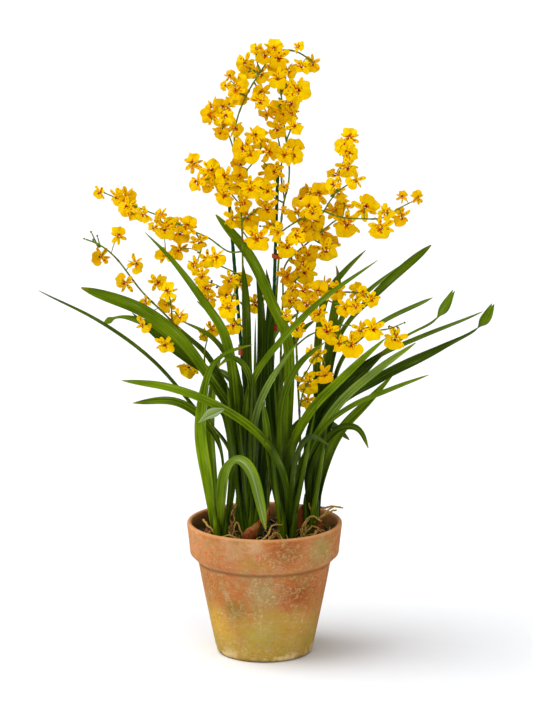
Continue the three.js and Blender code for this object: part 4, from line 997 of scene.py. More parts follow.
# %% Lay the leaves
clump_leaves = {}
for clump_name in CLUMPS:
    bm = bmesh.new()
    layers = [bm.loops.layers.uv.new("blade")]
    layers += [bm.verts.layers.float.new(name) for name in ("shade", "aged", "underside_and_sheen")]
    for sheath in SHEATHS[clump_name]:
        add_sheath(bm, *sheath, layers)
    if clump_name == "left":
        add_turned_tip(bm, layers)
    for number, leaf in enumerate(LEAVES):
        if leaf.clump == clump_name:
            add_blade(bm, leaf, LEAF_TONES[number], HABITS.get(number, {}), layers)
    bm.verts.index_update()
    clump_leaves[clump_name] = bm
    print(clump_name, len(bm.faces), "faces")

# %% [markdown]
# ## Shelter, painted as shade
#
# Deep in a clump little light arrives, and shade is painted there. Rays that leave a point in all
# directions tell how many other leaves stand close round it, and so how much shade it is given.

# %% Paint shade where leaves are sheltered
RAY_COUNT, RAY_START, RAY_REACH = 20, 4, 60
MOST_DARKENED = 0.85
GOLDEN_ANGLE = math.radians(137.5)
rays = []
for i in range(RAY_COUNT):
    level = 1 - (2 * i + 1) / RAY_COUNT
    flat, bearing = math.sqrt(1 - level * level), i * GOLDEN_ANGLE
    rays.append(Vector((flat * math.cos(bearing), flat * math.sin(bearing), level)))

crowd_points, crowd_faces = [], []
for bm in clump_leaves.values():
    first = len(crowd_points)
    crowd_faces += [[first + vert.index for vert in face.verts] for face in bm.faces]
    crowd_points += [vert.co.copy() for vert in bm.verts]
crowd = BVHTree.FromPolygons(crowd_points, crowd_faces)
for clump_name, bm in clump_leaves.items():
    shade, blocked = bm.verts.layers.float["shade"], []
    for vert in bm.verts:
        hits = [crowd.ray_cast(vert.co + ray * RAY_START, ray, RAY_REACH)[0] for ray in rays]
        blocked.append(sum(hit is not None for hit in hits) / RAY_COUNT)
        # painted shade: the more rays are blocked, the darker the leaf is painted
        vert[shade] *= 1 - MOST_DARKENED * ease(0.15, 0.65, blocked[-1])
    print(clump_name, "blocked share from", min(blocked), "to", max(blocked), "mean",
          round(np.mean(blocked), 2))
    leaves = finish_piece(f"leaves_{clump_name}", bm, leaf_green,
                          [f"leafy_shoots_{clump_name}"])
    thicken(leaves, BLADE_THICKNESS)
    subdivide(leaves)

# %% [markdown]
# ## Tubes
#
# Roots, stems, stalks and stakes are all round and slender. A curve with a bevel makes such a tube
# with closed ends and a thickness for each point, and is then kept as a mesh. All routes of one
# piece go into one curve, each as its own spline.


# %% From routes to one mesh
def tubes(name, routes, sides=6):
    """Routes are lists of (point, radius) in millimetres. Gives a bmesh of closed tubes."""
    data = bpy.data.curves.new(name, "CURVE")
    data.dimensions = "3D"
    data.bevel_depth = 1
    data.bevel_resolution = (sides - 4) // 2
    data.use_fill_caps = True
    for route in routes:
        spline = data.splines.new("POLY")
        spline.points.add(len(route) - 1)
        for knot, (point, radius) in zip(spline.points, route):
            knot.co = (*point, 1)
            knot.radius = radius
    holder = bpy.data.objects.new(name, data)
    mesh = bpy.data.meshes.new_from_object(holder)
    bm = bmesh.new()
    bm.from_mesh(mesh)
    close_seams(bm, 1e-3)
    bpy.data.objects.remove(holder)
    bpy.data.meshes.remove(mesh)
    bpy.data.curves.remove(data)
    return bm


def taper(points, start, end):
    count = len(points) - 1
    return [(point, mix(start, end, i / count)) for i, point in enumerate(points)]


# %% [markdown]
# ## Bulbs, husks and aerial roots
#
# An oncidium stores water in pseudobulbs, ribbed green swellings at the foot of each shoot. Old
# ones wear brown papery husks. Out of the bark come wiry aerial roots, tan where they are dry and
# olive where they still grow, and some reach the rim.


# %% Bulb, husk and root finishes
def plain_tissue(name, dark, light, dry, per_metre, stretch, roughness):
    material, tree = new_material(name)
    place = add(tree, "ShaderNodeTexCoord", {}, "Object")
    pulled = add(tree, "ShaderNodeMapping", {"Vector": place, "Scale": stretch})
    streaks = add(tree, "ShaderNodeTexNoise", {"Vector": pulled, "Scale": per_metre, "Detail": 5})
    share = add(tree, "ShaderNodeMapRange", [streaks, 0.35, 0.68])
    colour = add(tree, "ShaderNodeMix", [share, dark, light], data_type="RGBA")
    cloud = add(tree, "ShaderNodeTexNoise", {"Vector": place, "Scale": 70, "Detail": 3})
    worn = add(tree, "ShaderNodeMapRange", [cloud, 0.52, 0.66])
    bump = add(tree, "ShaderNodeBump", {"Strength": 0.5, "Distance": 0.0005, "Height": streaks})
    dress(tree, {
        "Base Color": add(tree, "ShaderNodeMix", [worn, colour, dry], data_type="RGBA"),
        "Normal": bump, "Roughness": roughness, "Specular IOR Level": 0.1})
    return material


bulb_skin = plain_tissue("ribbed_bulb_skin", "#4A6A08", "#93AE3C", "#6A8616",
                         500, (1, 1, 0.08), 0.45)  # smooth, faintly shiny, streaked upright
husk_paper = plain_tissue("dry_husk_paper", "#642C0C", "#98501E", "#A86C3C",
                          420, (1, 1, 0.15), 0.7)  # brown paper, fine upright fibres
root_skin = plain_tissue("wiry_root_skin", "#8C6A2A", "#E0B468", "#827E28",
                         700, (1, 1, 1), 0.8)  # tan felt, olive where it grows

# %% Pseudobulbs
FRONT_BULBS = [(-20, -22, 30, 12)]
RIBS, RIB_DEPTH, FLATNESS = 7, 0.08, 0.75
BELLY = ([0, 0.2, 0.5, 0.8, 1], [1.3, 1.15, 0.9, 0.8, 0.7])  # share of the height, and width there
bm = bmesh.new()
for bulbs in [FRONT_BULBS] + [clump["bulbs"] for clump in CLUMPS.values()]:
    for x, y, height, radius in bulbs:
        made = bmesh.ops.create_uvsphere(bm, u_segments=28, v_segments=10, radius=1)["verts"]
        for vert in made:
            rib = 1 + RIB_DEPTH * math.cos(RIBS * math.atan2(vert.co.y, vert.co.x))
            share = (vert.co.z + 1) / 2
            belly = rib * np.interp(share, *BELLY)
            vert.co = Vector((x + vert.co.x * radius * belly,
                              y + vert.co.y * radius * FLATNESS * belly,
                              SOIL_TOP - 4 + share * (height + 5)))
subdivide(finish_piece("pseudobulbs", bm, bulb_skin))

# %% Husks
# Foot, tip and greatest radius of each husk.
HUSKS = [
    ((-26, -38, 143), (-1, -26, 176), 8.5), ((-1, -24, 160), (6, -20, 186), 5.0),
    ((40, -2, 146), (46, 4, 184), 7.0), ((-36, -16, 143), (-41, -12, 170), 6.0),
    ((-62, -32, 143), (-70, -30, 163), 6.0), ((62, -2, 143), (70, -8, 168), 6.5),
    ((18, -26, 143), (10, -30, 161), 5.0), ((-20, 52, 144), (-26, 56, 176), 6.5),
    ((44, 24, 144), (40, 32, 172), 6.0), ((-46, -2, 144), (-52, 6, 168), 5.5),
]
HUSK_SHAPE = [(0.0, 0.0), (0.55, 0.06), (0.92, 0.2), (1.0, 0.36), (0.8, 0.56), (0.42, 0.76),
              (0.16, 0.92), (0.0, 1.0)]
HUSK_CRUMPLE = 0.9
bm = bmesh.new()
for foot, tip, radius in HUSKS:
    axis = Vector(tip) - Vector(foot)
    spin_profile(bm, [(r * radius, share * axis.length) for r, share in HUSK_SHAPE], 12,
                 closed=False)
    turn = Vector((0, 0, 1)).rotation_difference(axis).to_matrix().to_4x4()
    for vert in [vert for vert in bm.verts if not vert.tag]:  # those of this husk
        vert.co += noise.noise_vector(vert.co / 9 + Vector(foot)) * HUSK_CRUMPLE
        vert.co = Vector(foot) + turn @ vert.co
        vert.tag = True
close_seams(bm, 0.02)
subdivide(finish_piece("dry_husks", bm, husk_paper))

# %% Aerial roots
# The roots that show most, as routes in millimetres, then many short ones by chance.
SHOWN_ROOTS = [
    [(37, -12, 145), (49, -8, 154), (67, 0, 167), (85, 10, 177), (96, 14, 175)],
    [(60, 16, 178), (73, 12, 175), (82, 12, 178), (93, 14, 176)],
    [(62, 0, 163), (70, 4, 167), (80, 6, 172), (88, 8, 174)],
    [(39, -24, 144), (50, -20, 152), (59, -14, 160), (72, -22, 151)],
    [(43, -24, 144), (48, -18, 164), (58, -14, 172), (69, -16, 166)],
    [(52, -16, 144), (49, -12, 160), (57, -8, 172), (54, -4, 186)],
    [(-45, -30, 144), (-40, -26, 163), (-44, -24, 178), (-38, -20, 190)],
    [(-38, -30, 144), (-43, -26, 158), (-36, -24, 170), (-41, -20, 182)],
    [(-74, -26, 171), (-68, -34, 165), (-62, -40, 160), (-50, -44, 147)],
    [(-57, -40, 148), (-43, -46, 156), (-26, -50, 148)],
    [(-43, -34, 147), (-44, -28, 171), (-36, -22, 183), (-31, -20, 189)],
    [(-40, -34, 147), (-33, -30, 169), (-26, -34, 149)],
    [(-8, -58, 147), (3, -54, 158), (11, -44, 169), (22, -40, 168)],
    [(2, -50, 147), (14, -46, 160), (24, -52, 148)],
]
# Middle, spread and number of roots of each cluster.
ROOT_CLUSTERS = [(-38, -24, 10, 17), (44, -20, 15, 12), (66, -6, 12, 7), (8, -42, 12, 7),
                 (-60, -26, 12, 6), (-10, 40, 26, 12), (40, 34, 20, 10)]
ROOT_POINTS, ROOT_KINK = 12, 0.9
root_dice = Dice(9191)


def chance_root(x, y, spread):
    """A wiry root that rises from the bark, kinks a few times and dives back."""
    bearing = root_dice.roll(0, 2 * math.pi)
    flat = np.array([x + root_dice.roll(-spread, spread), y + root_dice.roll(-spread, spread)])
    points = [np.array([*flat, SOIL_TOP - 4])]
    for height in (6, 12, 14, 9, -4):
        bearing += root_dice.roll(-1.1, 1.1)
        flat = flat + np.array([math.cos(bearing), math.sin(bearing)]) * root_dice.roll(3, 9)
        flat *= min(1, CHIP_REACH / np.linalg.norm(flat))
        points.append(np.array([*flat, SOIL_TOP + height * root_dice.roll(0.2, 1.2)]))
    return points


routes = []
for route in SHOWN_ROOTS:
    points = Curve(route).spaced(ROOT_POINTS)
    for i in range(1, ROOT_POINTS):
        points[i] += [root_dice.roll(-ROOT_KINK, ROOT_KINK) for _ in range(3)]
    routes.append(taper(points, 1.5, 1.0))
for x, y, spread, count in ROOT_CLUSTERS:
    for _ in range(count):
        points = Curve(chance_root(x, y, spread)).spaced(ROOT_POINTS)
        thick = root_dice.roll(0.45, 0.95)
        routes.append(taper(points, thick, thick * 0.65))
finish_piece("aerial_roots", tubes("roots", routes), root_skin)

# %% [markdown]
# ## Stakes and clips
#
# The two stakes are steel wire in a green plastic coat, with small bumps that keep a tie from
# slipping. The clips are soft plastic and stay as they were packed.


# %% Moulded plastic
def moulded_plastic(name, colour, faded, roughness):
    material, tree = new_material(name)
    place = add(tree, "ShaderNodeTexCoord", {}, "Object")
    haze = add(tree, "ShaderNodeTexNoise", {"Vector": place, "Scale": 240, "Detail": 4})
    share = add(tree, "ShaderNodeMapRange", [haze, 0.45, 0.75])
    bump = add(tree, "ShaderNodeBump", {"Strength": 0.2, "Distance": 0.0003, "Height": haze})
    dress(tree, {
        "Base Color": add(tree, "ShaderNodeMix", [share, colour, faded], data_type="RGBA"),
        "Normal": bump, "Roughness": roughness, "Specular IOR Level": 0.2, "Specular Tint": faded})
    return material


stake_coat = moulded_plastic("green_stake_coat", "#1C4620", "#386838", 0.42)
clip_plastic = moulded_plastic("orange_clip_plastic", "#A43C08", "#C05E22", 0.5)
for name in TIES:
    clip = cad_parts[f"tie_{name}"]
    clip.data.materials.clear()
    clip.data.materials.append(clip_plastic)
print("clips:", len(TIES))


# %% Stakes
STAKE_END, BUMP_STEP, BUMP_HEIGHT = 40, 6, 0.28


def stake_point(stake, z):
    foot, top = np.array(stake["foot"], float), np.array(stake["top"], float)
    return foot + (top - foot) * (z - foot[2]) / (top[2] - foot[2])


for name, stake in STAKES.items():
    low, top = stake_point(stake, STAKE_END), np.array(stake["top"])
    count = round((top[2] - STAKE_END) / BUMP_STEP)
    knots = [(mix(low, top, i / count), STAKE_RADIUS - (0 if i % 2 else BUMP_HEIGHT))
             for i in range(count + 1)]
    bm = tubes(f"stake_{name}", [knots], sides=12)
    finish_piece(f"coated_stake_{name}", bm, stake_coat, [f"stake_{name}"])

# %% [markdown]
# ## Where each bloom hangs
#
# The drawing gives a bloom's place, but not how far it stands before its twig. The same rule that
# made the solids finds it: the bloom takes the twig point that suits the length of its stalk, then
# steps away from the twig until its lip, petals and stalk are clear of leaves, stakes and the other
# blooms. Each bloom that is placed becomes an obstacle for the next.


# %% Stems of a spray
def stem_joints(curve):
    return curve.spaced(max(2, round(curve.length / STEM_STEP)))


def nearest_on(lines, point):
    best, best_gap = None, math.inf
    for joints in lines:
        for a, b in zip(joints, joints[1:]):
            share = np.clip(np.dot(point - a, b - a) / np.dot(b - a, b - a), 0, 1)
            spot = a + (b - a) * share
            gap = np.linalg.norm(spot - point)
            if gap < best_gap:
                best, best_gap = spot, gap
    return best


def spray_curves(spray):
    low = [np.array([*spray["foot"], z]) for z in (SOIL_TOP - ROOT_DEPTH + 2, SOIL_TOP + 8)]
    curves = [Curve(low + [at(*point) for point in spray["main"]])]
    for route in spray["twigs"]:
        points = [at(*point) for point in route]
        points[0] = nearest_on([stem_joints(curve) for curve in curves], points[0])
        curves.append(Curve(points))
    return curves


SPRAY_CURVES = {name: spray_curves(spray) for name, spray in SPRAYS.items()}
print("stems:", sum(len(curves) for curves in SPRAY_CURVES.values()))

# %% Obstacles
obstacles = {"owner": [], "point": [], "radius": []}


def add_obstacles(owner, points, radius):
    obstacles["owner"] += [owner] * len(points)
    obstacles["point"] += list(points)
    obstacles["radius"] += [radius] * len(points)


for leaf in LEAVES:
    add_obstacles(leaf.clump, leaf_curve(leaf).spaced(60), leaf.width / 2)
for name, stake in STAKES.items():
    line = np.linspace(stake_point(stake, SOIL_TOP), stake["top"], 91)
    add_obstacles(name, line, STAKE_RADIUS)
for name, clip in TIES.items():
    points = SPRAY_CURVES[clip["spray"]][0].spaced(400)
    stem_point = points[np.argmin(np.abs(points[:, 2] - clip["z"]))]
    add_obstacles(name, np.linspace(stake_point(STAKES[clip["stake"]], clip["z"]), stem_point, 5),
                  STAKE_RADIUS + 3)
for name, curves in SPRAY_CURVES.items():
    for curve in curves:
        add_obstacles(name, curve.spaced(math.ceil(curve.length / 5)), TWIG_RADIUS)
print("obstacle points:", len(obstacles["point"]))

# %% Hang one bloom
HALF_BLOOM = [(0.27, -0.66, -0.06), (0.52, -0.36, -0.02), (0.14, -0.07, 0.02), (0.4, 0.2, 0.08),
              (0.08, 0.1, 0.02)]
BLOOM_OUTLINE = HALF_BLOOM + [(0, 0.42, 0.06)] + [(-x, y, z) for x, y, z in HALF_BLOOM[::-1]]
DEPTH_STEPS = [0, 5, 10, 15, 20, 26, 32, 38, 44]
CLEAR, OWN_CLEAR, OWN_ZONE, BLOOM_REACH, LEAST_LIFT = 1.8, 1.2, 9, 2.2, 2
STALK_LENGTH, BUD_WIDTH, LEAN_RANGE, MOST_NOD, LEAST_OFFSET, FRONT_SHARE = 9, 19, 14, 0.35, 6, 0.8
LEAST_HEIGHT, SEARCH_REACH = SOIL_TOP + 60, 140
bloom_dice = Dice(20611)


def turned(vector, axis, angle):
    return np.array(Matrix.Rotation(angle, 3, Vector(axis)) @ Vector(vector))


def bloom_frame(side, direction, turn, nod, from_root):
    """Right, up and front of a bloom that turns and nods away from its root."""
    angle = math.radians(direction)
    up = np.array([-math.sin(angle), 0, math.cos(angle)])
    front = np.array([0.0, side, 0.0])
    right = np.cross(up, front)
    swing = turn * (np.sign(right @ from_root) or 1)
    front, right = turned(front, up, swing), turned(right, up, swing)
    tip = -nod * (np.sign(up @ from_root) or 1)
    return right, turned(up, right, tip), turned(front, right, tip)


def room_for(owner, points, root):
    """How much room points have beside other things, and beside the same spray's own stems."""
    away = np.linalg.norm(known["point"] - root, axis=1)
    nearby, near_root = away < SEARCH_REACH, away < OWN_ZONE
    own, rooms = known["owner"] == owner, []
    for chosen in (nearby & ~own, nearby & own & ~near_root):
        gaps = np.linalg.norm(points[:, None] - known["point"][chosen][None], axis=2)
        rooms.append((gaps - known["radius"][chosen]).min() if chosen.any() else math.inf)
    return rooms


def place_bloom(owner, samples, row):
    x, z, spread, direction = row
    fit = np.abs(np.hypot(samples[:, 3] - x, samples[:, 4] - z) - STALK_LENGTH)
    root = samples[np.argmin(fit), :3]
    if spread < BUD_WIDTH:
        full_width = spread * 1.1
    else:
        full_width = max(spread, bloom_dice.roll(24, 29))
    turn = math.acos(spread / full_width)
    lean = direction + LEAN_RANGE * (bloom_dice.roll() - 0.5)
    nod = MOST_NOD * bloom_dice.roll()
    offset = LEAST_OFFSET * (1 + bloom_dice.roll())
    first = -1 if bloom_dice.roll() < FRONT_SHARE else 1
    width = full_width * BLOOM_SCALE
    best = None
    for side, step in [(s, d) for s in (first, -first) for d in DEPTH_STEPS]:
        centre = at(x, z, root[1] + side * (offset + step))
        from_root = centre - root
        right, up, front = bloom_frame(side, lean, turn, nod, from_root)
        rim = np.array([centre + (right * a + up * b + front * c) * width
                        for a, b, c in BLOOM_OUTLINE])
        stalk = [mix(root, centre, share) for share in (0.3, 0.5, 0.7, 0.85)]
        points = np.vstack([rim, (rim + centre) / 2, stalk, centre])
        others, own = room_for(owner, points, root)
        score = min(others - CLEAR, 0) * 10 + min(own - OWN_CLEAR, 0)
        score += min(from_root @ front - LEAST_LIFT, 0)
        if best is None or score > best[0]:
            best = (score, centre, (right, up, front), points)
        if score == 0:
            break
    score, centre, axes, points = best
    known["point"] = np.vstack([known["point"], points])
    known["radius"] = np.append(known["radius"], [BLOOM_REACH] * len(points))
    known["owner"] = np.append(known["owner"], [owner] * len(points))
    return {"centre": centre, "axes": axes, "full": full_width, "root": root}


# %% Hang them all
def stem_samples(curves):
    """Points along the stems, each with its place on the elevation drawing."""
    samples = []
    for curve in curves:
        joints = stem_joints(curve)
        for a, b in zip(joints, joints[1:]):
            for share in (0, 0.2, 0.4, 0.6, 0.8):
                point = a + (b - a) * share
                scale = 1 - point[1] / EYE[1]
                if point[2] > LEAST_HEIGHT:
                    samples.append([*point, EYE[0] + (point[0] - EYE[0]) / scale,
                                    EYE[2] + (point[2] - EYE[2]) / scale])
    return np.array(samples)


known = {name: np.array(values) for name, values in obstacles.items()}
hung = {}
for name, spray in SPRAYS.items():
    samples = stem_samples(SPRAY_CURVES[name])
    hung[name] = [place_bloom(name, samples, row) for row in spray["blooms"]]
    print(name, len(hung[name]), "blooms")

# %% [markdown]
# ## Stems and stalks
#
# The flower stem is a thin green wire with a node every few centimetres, where it swells a little.
# Each bloom hangs on its own stalk, which swells a little towards the flower. Where a stem ends
# without a bloom, a few buds stand.

# %% Green stems
stem_skin = plain_tissue("smooth_green_stem", "#4C6004", "#80921A", "#6A5C12",
                         300, (1, 1, 0.3), 0.5)  # smooth green skin, olive in patches
NODE_SPACING, NODE_REACH, NODE_SWELL = 34, 2.2, 0.35
BUD_CLEARANCE = 13  # a stem with a bloom nearer to its tip than this has no buds
# Places along a bud in shares of its length, and its radius there.
BUD_SHAPE = ((0, 0.4), (0.35, 0.4), (0.6, 1.3), (0.85, 1.5), (1.1, 1.0), (1.3, 0.2))
BARE_STALK = [(-37, -34, 247), (-42, -40, 259), (-54, -52, 281), (-67, -64, 302), (-70, -69, 310)]


def stem_route(curve, start, end):
    count = max(6, round(curve.length / 4))
    knots = []
    for i, point in enumerate(curve.spaced(count)):
        travel = curve.length * i / count
        near = abs((travel + NODE_SPACING / 2) % NODE_SPACING - NODE_SPACING / 2)
        swell = NODE_SWELL * math.exp(-(near / NODE_REACH) ** 2)
        knots.append((point, mix(start, end, i / count) + swell))
    return knots


def stalk_route(bloom):
    _, _, front = bloom["axes"]
    root, head = bloom["root"], bloom["centre"] - front * 0.05 * bloom["full"]
    rise = np.array([0, 0, 0.12 * np.linalg.norm(head - root)])
    points = Curve([root, mix(root, head, 0.4) + rise, mix(root, head, 0.75) + rise * 0.7, head])
    return taper(points.spaced(6), 0.45, 0.75)


def buds_of(curve, blooms):
    """Buds at the end of a stem where no bloom has opened yet: point, direction and length."""
    tip = curve.points[-1]
    if min(np.linalg.norm(bloom["centre"] - tip) for bloom in blooms) < BUD_CLEARANCE:
        return []
    rows, count = [], 1 if curve.length < 25 else 3
    for i, share in enumerate(np.linspace(1, 1 - min(0.6, 20 / curve.length), count)):
        point, along = curve.raw(curve.time([share]))[0], curve.tangents([share])[0]
        out = np.array([along[2], 0, -along[0]]) * (0, 1, -1)[i] + along * 0.8
        rows.append((point, out / np.linalg.norm(out), mix(3.0, 4.2, i / 2)))
    return rows


for name, curves in SPRAY_CURVES.items():
    routes = [stem_route(curves[0], STEM_RADIUS, 0.95)]
    routes += [stem_route(curve, 1.1, 0.75) for curve in curves[1:]]
    routes += [stalk_route(bloom) for bloom in hung[name]]
    if name == "lower_left":
        routes.append(taper(Curve(BARE_STALK).spaced(16), 0.9, 0.6))
    buds = [bud for curve in curves for bud in buds_of(curve, hung[name])]
    for point, out, size in buds:
        routes.append([(point + out * size * share, radius) for share, radius in BUD_SHAPE])
    finish_piece(f"stems_{name}", tubes(f"stems_{name}", routes), stem_skin)
    print(len(buds), "buds")

# %% [markdown]
# ## The bloom
#
# The flower has one big yellow lip, a fan on a narrow waist, with a notch in its hem and a ruffled
# edge. At the waist sits a warty red-brown callus. Behind it stand two petals and three sepals,
# small, yellow and barred with brown. A cage of a few dozen faces holds all of it, and a
# subdivision rounds the edges. Seven cages with different ruffles are enough for a natural spray.


# %% Petal tissue
def petal_tissue():
    material, tree = new_material("yellow_petal_tissue")  # soft and velvety, no shine
    grid = add(tree, "ShaderNodeUVMap", {}, uv_map="bloom")
    mark = add(tree, "ShaderNodeAttribute", {}, "Fac", attribute_name="mark")
    shade = add(tree, "ShaderNodeAttribute", {}, "Fac", attribute_name="shade")
    place = add(tree, "ShaderNodeTexCoord", {}, "Object")
    cloud = add(tree, "ShaderNodeTexNoise", {"Vector": place, "Scale": 120, "Detail": 2})
    warm = add(tree, "ShaderNodeMapRange", [cloud, 0.35, 0.7])
    colour = add(tree, "ShaderNodeMix", [warm, "#FFD800", "#FAC600"], data_type="RGBA")
    colour = add(tree, "ShaderNodeMix", [shade, colour, "#DDA400"], data_type="RGBA")
    speckle = add(tree, "ShaderNodeTexNoise", {"Vector": place, "Scale": 360, "Detail": 1})
    lifted = add(tree, "ShaderNodeMath", [speckle, mark], operation="ADD")
    brown = add(tree, "ShaderNodeMix", [warm, "#B84200", "#DC7A04"], data_type="RGBA")
    core = add(tree, "ShaderNodeMapRange", [lifted, 1.28, 1.5])
    brown = add(tree, "ShaderNodeMix", [core, brown, "#681400"], data_type="RGBA")
    spotted = add(tree, "ShaderNodeMapRange", [lifted, 1.02, 1.12])
    rays = add(tree, "ShaderNodeTexWave", {
        "Vector": grid, "Scale": 6, "Distortion": 3, "Detail": 2}, bands_direction="X")
    bump = add(tree, "ShaderNodeBump", {"Strength": 0.25, "Distance": 0.0005, "Height": rays})
    dress(tree, {
        "Base Color": add(tree, "ShaderNodeMix", [spotted, colour, brown], data_type="RGBA"),
        "Normal": bump, "Roughness": 0.6, "Specular IOR Level": 0.1, "Specular Tint": "#FFD860"})
    return material


petal_yellow = petal_tissue()
print(petal_yellow.name)

# %% Sheets of a bloom
CAGE_COUNT = 7
PETAL_THICKNESS = 0.5
# Petals and sepals: angle from upright, length, width, how far the tip bends forward.
SEGMENTS = [(0, 0.48, 0.19, 0.06), (57, 0.51, 0.25, 0.02), (-57, 0.51, 0.25, 0.02),
            (112, 0.53, 0.17, -0.05), (-112, 0.53, 0.17, -0.05)]


def lip(bm, cage_dice):
    """The lip's fan: a grid bent round the waist. Lengths are shares of the bloom's width."""
    made = bmesh.ops.create_grid(bm, x_segments=10, y_segments=3, size=0.5)["verts"]
    phase, second, third = (cage_dice.roll(0, 6) for _ in range(3))
    cup, fold = cage_dice.roll(-0.22, 0.22), cage_dice.roll(-0.3, 0.3)
    notch, lopsided = cage_dice.roll(0.2, 0.38), cage_dice.roll(-0.14, 0.14)
    marks = {}
    for vert in made:
        side, out = vert.co.x * 2, vert.co.y + 0.5
        angle = side * math.radians(mix(50, 100, out ** 0.6))
        reach = mix(0.05, 0.475, out) * (1 - 0.4 * abs(side) ** 3.4 * out) * (1 + lopsided * side)
        reach *= 1 - notch * math.exp(-(side / 0.2) ** 2) * out
        reach *= 1 + out * (0.08 * math.sin(side * 11 + phase) + 0.05 * math.sin(side * 19 + third))
        reach *= 1 + out ** 3 * cage_dice.roll(-0.16, 0.12)
        ruffle = 0.13 * out ** 2 * math.sin(side * 8 + second) + fold * out * side * side
        vert.co = Vector((reach * math.sin(angle), -0.04 - 1.25 * reach * math.cos(angle),
                          0.05 * (1 - out) + cup * out + ruffle))
        marks[vert] = 0.7 * (1 - ease(0.08, 0.62, out))
    return marks


def segment(bm, angle, length, width, bend, cage_dice):
    made = bmesh.ops.create_grid(bm, x_segments=2, y_segments=3, size=0.5)["verts"]
    turn = Matrix.Rotation(math.radians(-angle + cage_dice.roll(-10, 10)), 3, "Z")
    curl, twist = cage_dice.roll(-0.1, 0.1), cage_dice.roll(-0.9, 0.9)
    bend += cage_dice.roll(-0.12, 0.14)
    length *= cage_dice.roll(0.85, 1.1)
    marks = {}
    for vert in made:
        side, out = vert.co.x * 2, vert.co.y + 0.5
        half = width / 2 * (0.42, 0.9, 1.05, 0.72)[round(out * 3)]
        x, y = side * half, 0.02 + length * out * (1 - 0.1 * abs(side) * out)
        z = bend * out ** 2 + curl * side * out + twist * x * out - 0.01
        vert.co = turn @ Vector((x * (1 + cage_dice.roll(-0.25, 0.25)), y, z))
        marks[vert] = 0.66 * (1 - 0.35 * out) * (1 - 0.4 * abs(side))
    return marks


# %% Cages and the heart of a bloom
# Centre, half size and mark of each lump: callus, its two ears and the column.
HEART = [((0, -0.07, 0.055), (0.075, 0.05, 0.04), 0.95),
         ((0.05, -0.02, 0.07), (0.03, 0.05, 0.03), 0.7),
         ((-0.05, -0.02, 0.07), (0.03, 0.05, 0.03), 0.7),
         ((0, 0.05, 0.08), (0.04, 0.07, 0.045), 0.4)]


def bloom_layers(bm):
    return (bm.verts.layers.float.new("mark"), bm.verts.layers.float.new("shade"),
            bm.loops.layers.uv.new("bloom"))


def bloom_mesh(name, bm, layers, marks):
    """Writes the marks, and a map that is the bloom seen from the front."""
    for vert, share in marks.items():
        vert[layers[0]] = share
    lay_map(marks, layers[2], {vert: vert.co.xy for vert in marks})
    return to_mesh(name, bm)


def cage(number):
    cage_dice, bm = Dice(500 + number), bmesh.new()
    layers, marks = bloom_layers(bm), lip(bm, cage_dice)
    for row in SEGMENTS:
        marks.update(segment(bm, *row, cage_dice))
    return bloom_mesh(f"bloom_cage_{number}", bm, layers, marks)


def heart():
    bm = bmesh.new()
    layers, marks = bloom_layers(bm), {}
    for centre, size, mark in HEART:
        for vert in bmesh.ops.create_icosphere(bm, subdivisions=1, radius=1)["verts"]:
            vert.co = Vector(c + s * v for c, s, v in zip(centre, size, vert.co))
            marks[vert] = mark
    return bloom_mesh("bloom_heart", bm, layers, marks)


cages, heart_mesh = [cage(number) for number in range(CAGE_COUNT)], heart()
print("faces in a cage:", len(cages[0].polygons), "and in a heart:", len(heart_mesh.polygons))

# %% Dress the sprays
FINE_BLOOM_SCALE = 0.9
shade_dice = Dice(808)


def hang(bm, mesh, bloom, shade_layer, tone):
    verts = add_copy(bm, mesh)
    axes = Matrix([Vector(axis) for axis in bloom["axes"]]).transposed().to_4x4()
    place = Matrix.Translation(Vector(bloom["centre"])) @ axes
    place = place @ Matrix.Scale(bloom["full"] * FINE_BLOOM_SCALE, 4)
    bmesh.ops.transform(bm, matrix=place, verts=verts)
    for vert in verts:
        vert[shade_layer] = tone


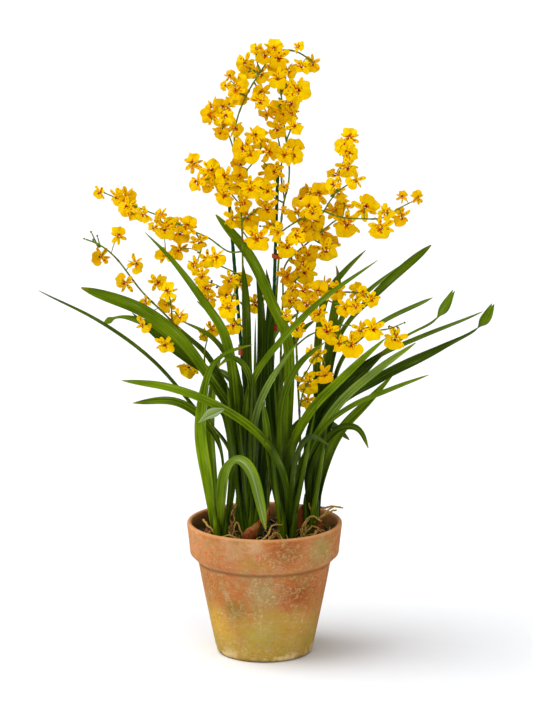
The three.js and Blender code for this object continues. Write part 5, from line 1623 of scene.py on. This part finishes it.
hearts = bmesh.new()
_, heart_shade, _ = bloom_layers(hearts)
for name, blooms in hung.items():
    bm = bmesh.new()
    _, petal_shade, _ = bloom_layers(bm)
    for bloom in blooms:
        tone = 0.85 * shade_dice.roll() ** 2
        hang(bm, cages[int(shade_dice.roll() * CAGE_COUNT)], bloom, petal_shade, tone)
        hang(hearts, heart_mesh, bloom, heart_shade, tone)
    petals = finish_piece(f"petals_{name}", bm, petal_yellow, [f"flower_spray_{name}"])
    thicken(petals, PETAL_THICKNESS)
    subdivide(petals)
finish_piece("bloom_hearts", hearts, petal_yellow)

# %% [markdown]
# ## Studio
#
# A pale floor that runs far back stays white to the top of the view. Three wide, soft lights do
# the rest. The key stands to the left and shapes the pot, the fill beside the camera opens the
# shadows, and the one overhead draws a dark line where the pot meets the floor.

# %% Floor
FLOOR_REACH = 30  # metres
floor_material, floor_tree = new_material("matt_white_paper_floor")
floor_place = add(floor_tree, "ShaderNodeTexCoord", {}, "Object")
fibre = add(floor_tree, "ShaderNodeTexNoise", {"Vector": floor_place, "Scale": 40, "Detail": 3})
dress(floor_tree, {
    "Base Color": add(floor_tree, "ShaderNodeMix", [fibre, "#F7F9FC", "#FBFCFE"], data_type="RGBA"),
    "Roughness": 1.0, "Specular IOR Level": 0.0})
bm = bmesh.new()
bmesh.ops.create_grid(bm, x_segments=8, y_segments=8, size=FLOOR_REACH)
floor = put_in_scene("floor", to_mesh("floor", bm))
floor.data.materials.append(floor_material)
print("floor:", 2 * FLOOR_REACH, "m wide")

# %% Light
# Name, strength, width in degrees and the direction that the light comes from.
LIGHTS = [("key", 1.5, 60, (-0.9, -0.1, 0.9)), ("fill", 1.02, 90, (0.2, -1.0, 0.6)),
          ("overhead", 1.2, 40, (-0.25, 0.0, 1.0))]
SURROUND_STRENGTH = 0.3
world = bpy.data.worlds.new("studio")
world.use_nodes = True
surround = world.node_tree.nodes["Background"].inputs
surround["Color"].default_value = (1, 1, 1, 1)
surround["Strength"].default_value = SURROUND_STRENGTH
bpy.context.scene.world = world
for name, strength, width, source in LIGHTS:
    light = bpy.data.lights.new(name, "SUN")
    light.energy, light.angle = strength, math.radians(width)
    lamp = put_in_scene(name, light)
    lamp.rotation_euler = Vector(source).to_track_quat("Z", "Y").to_euler()
print("lights:", len(LIGHTS), "and the surround")
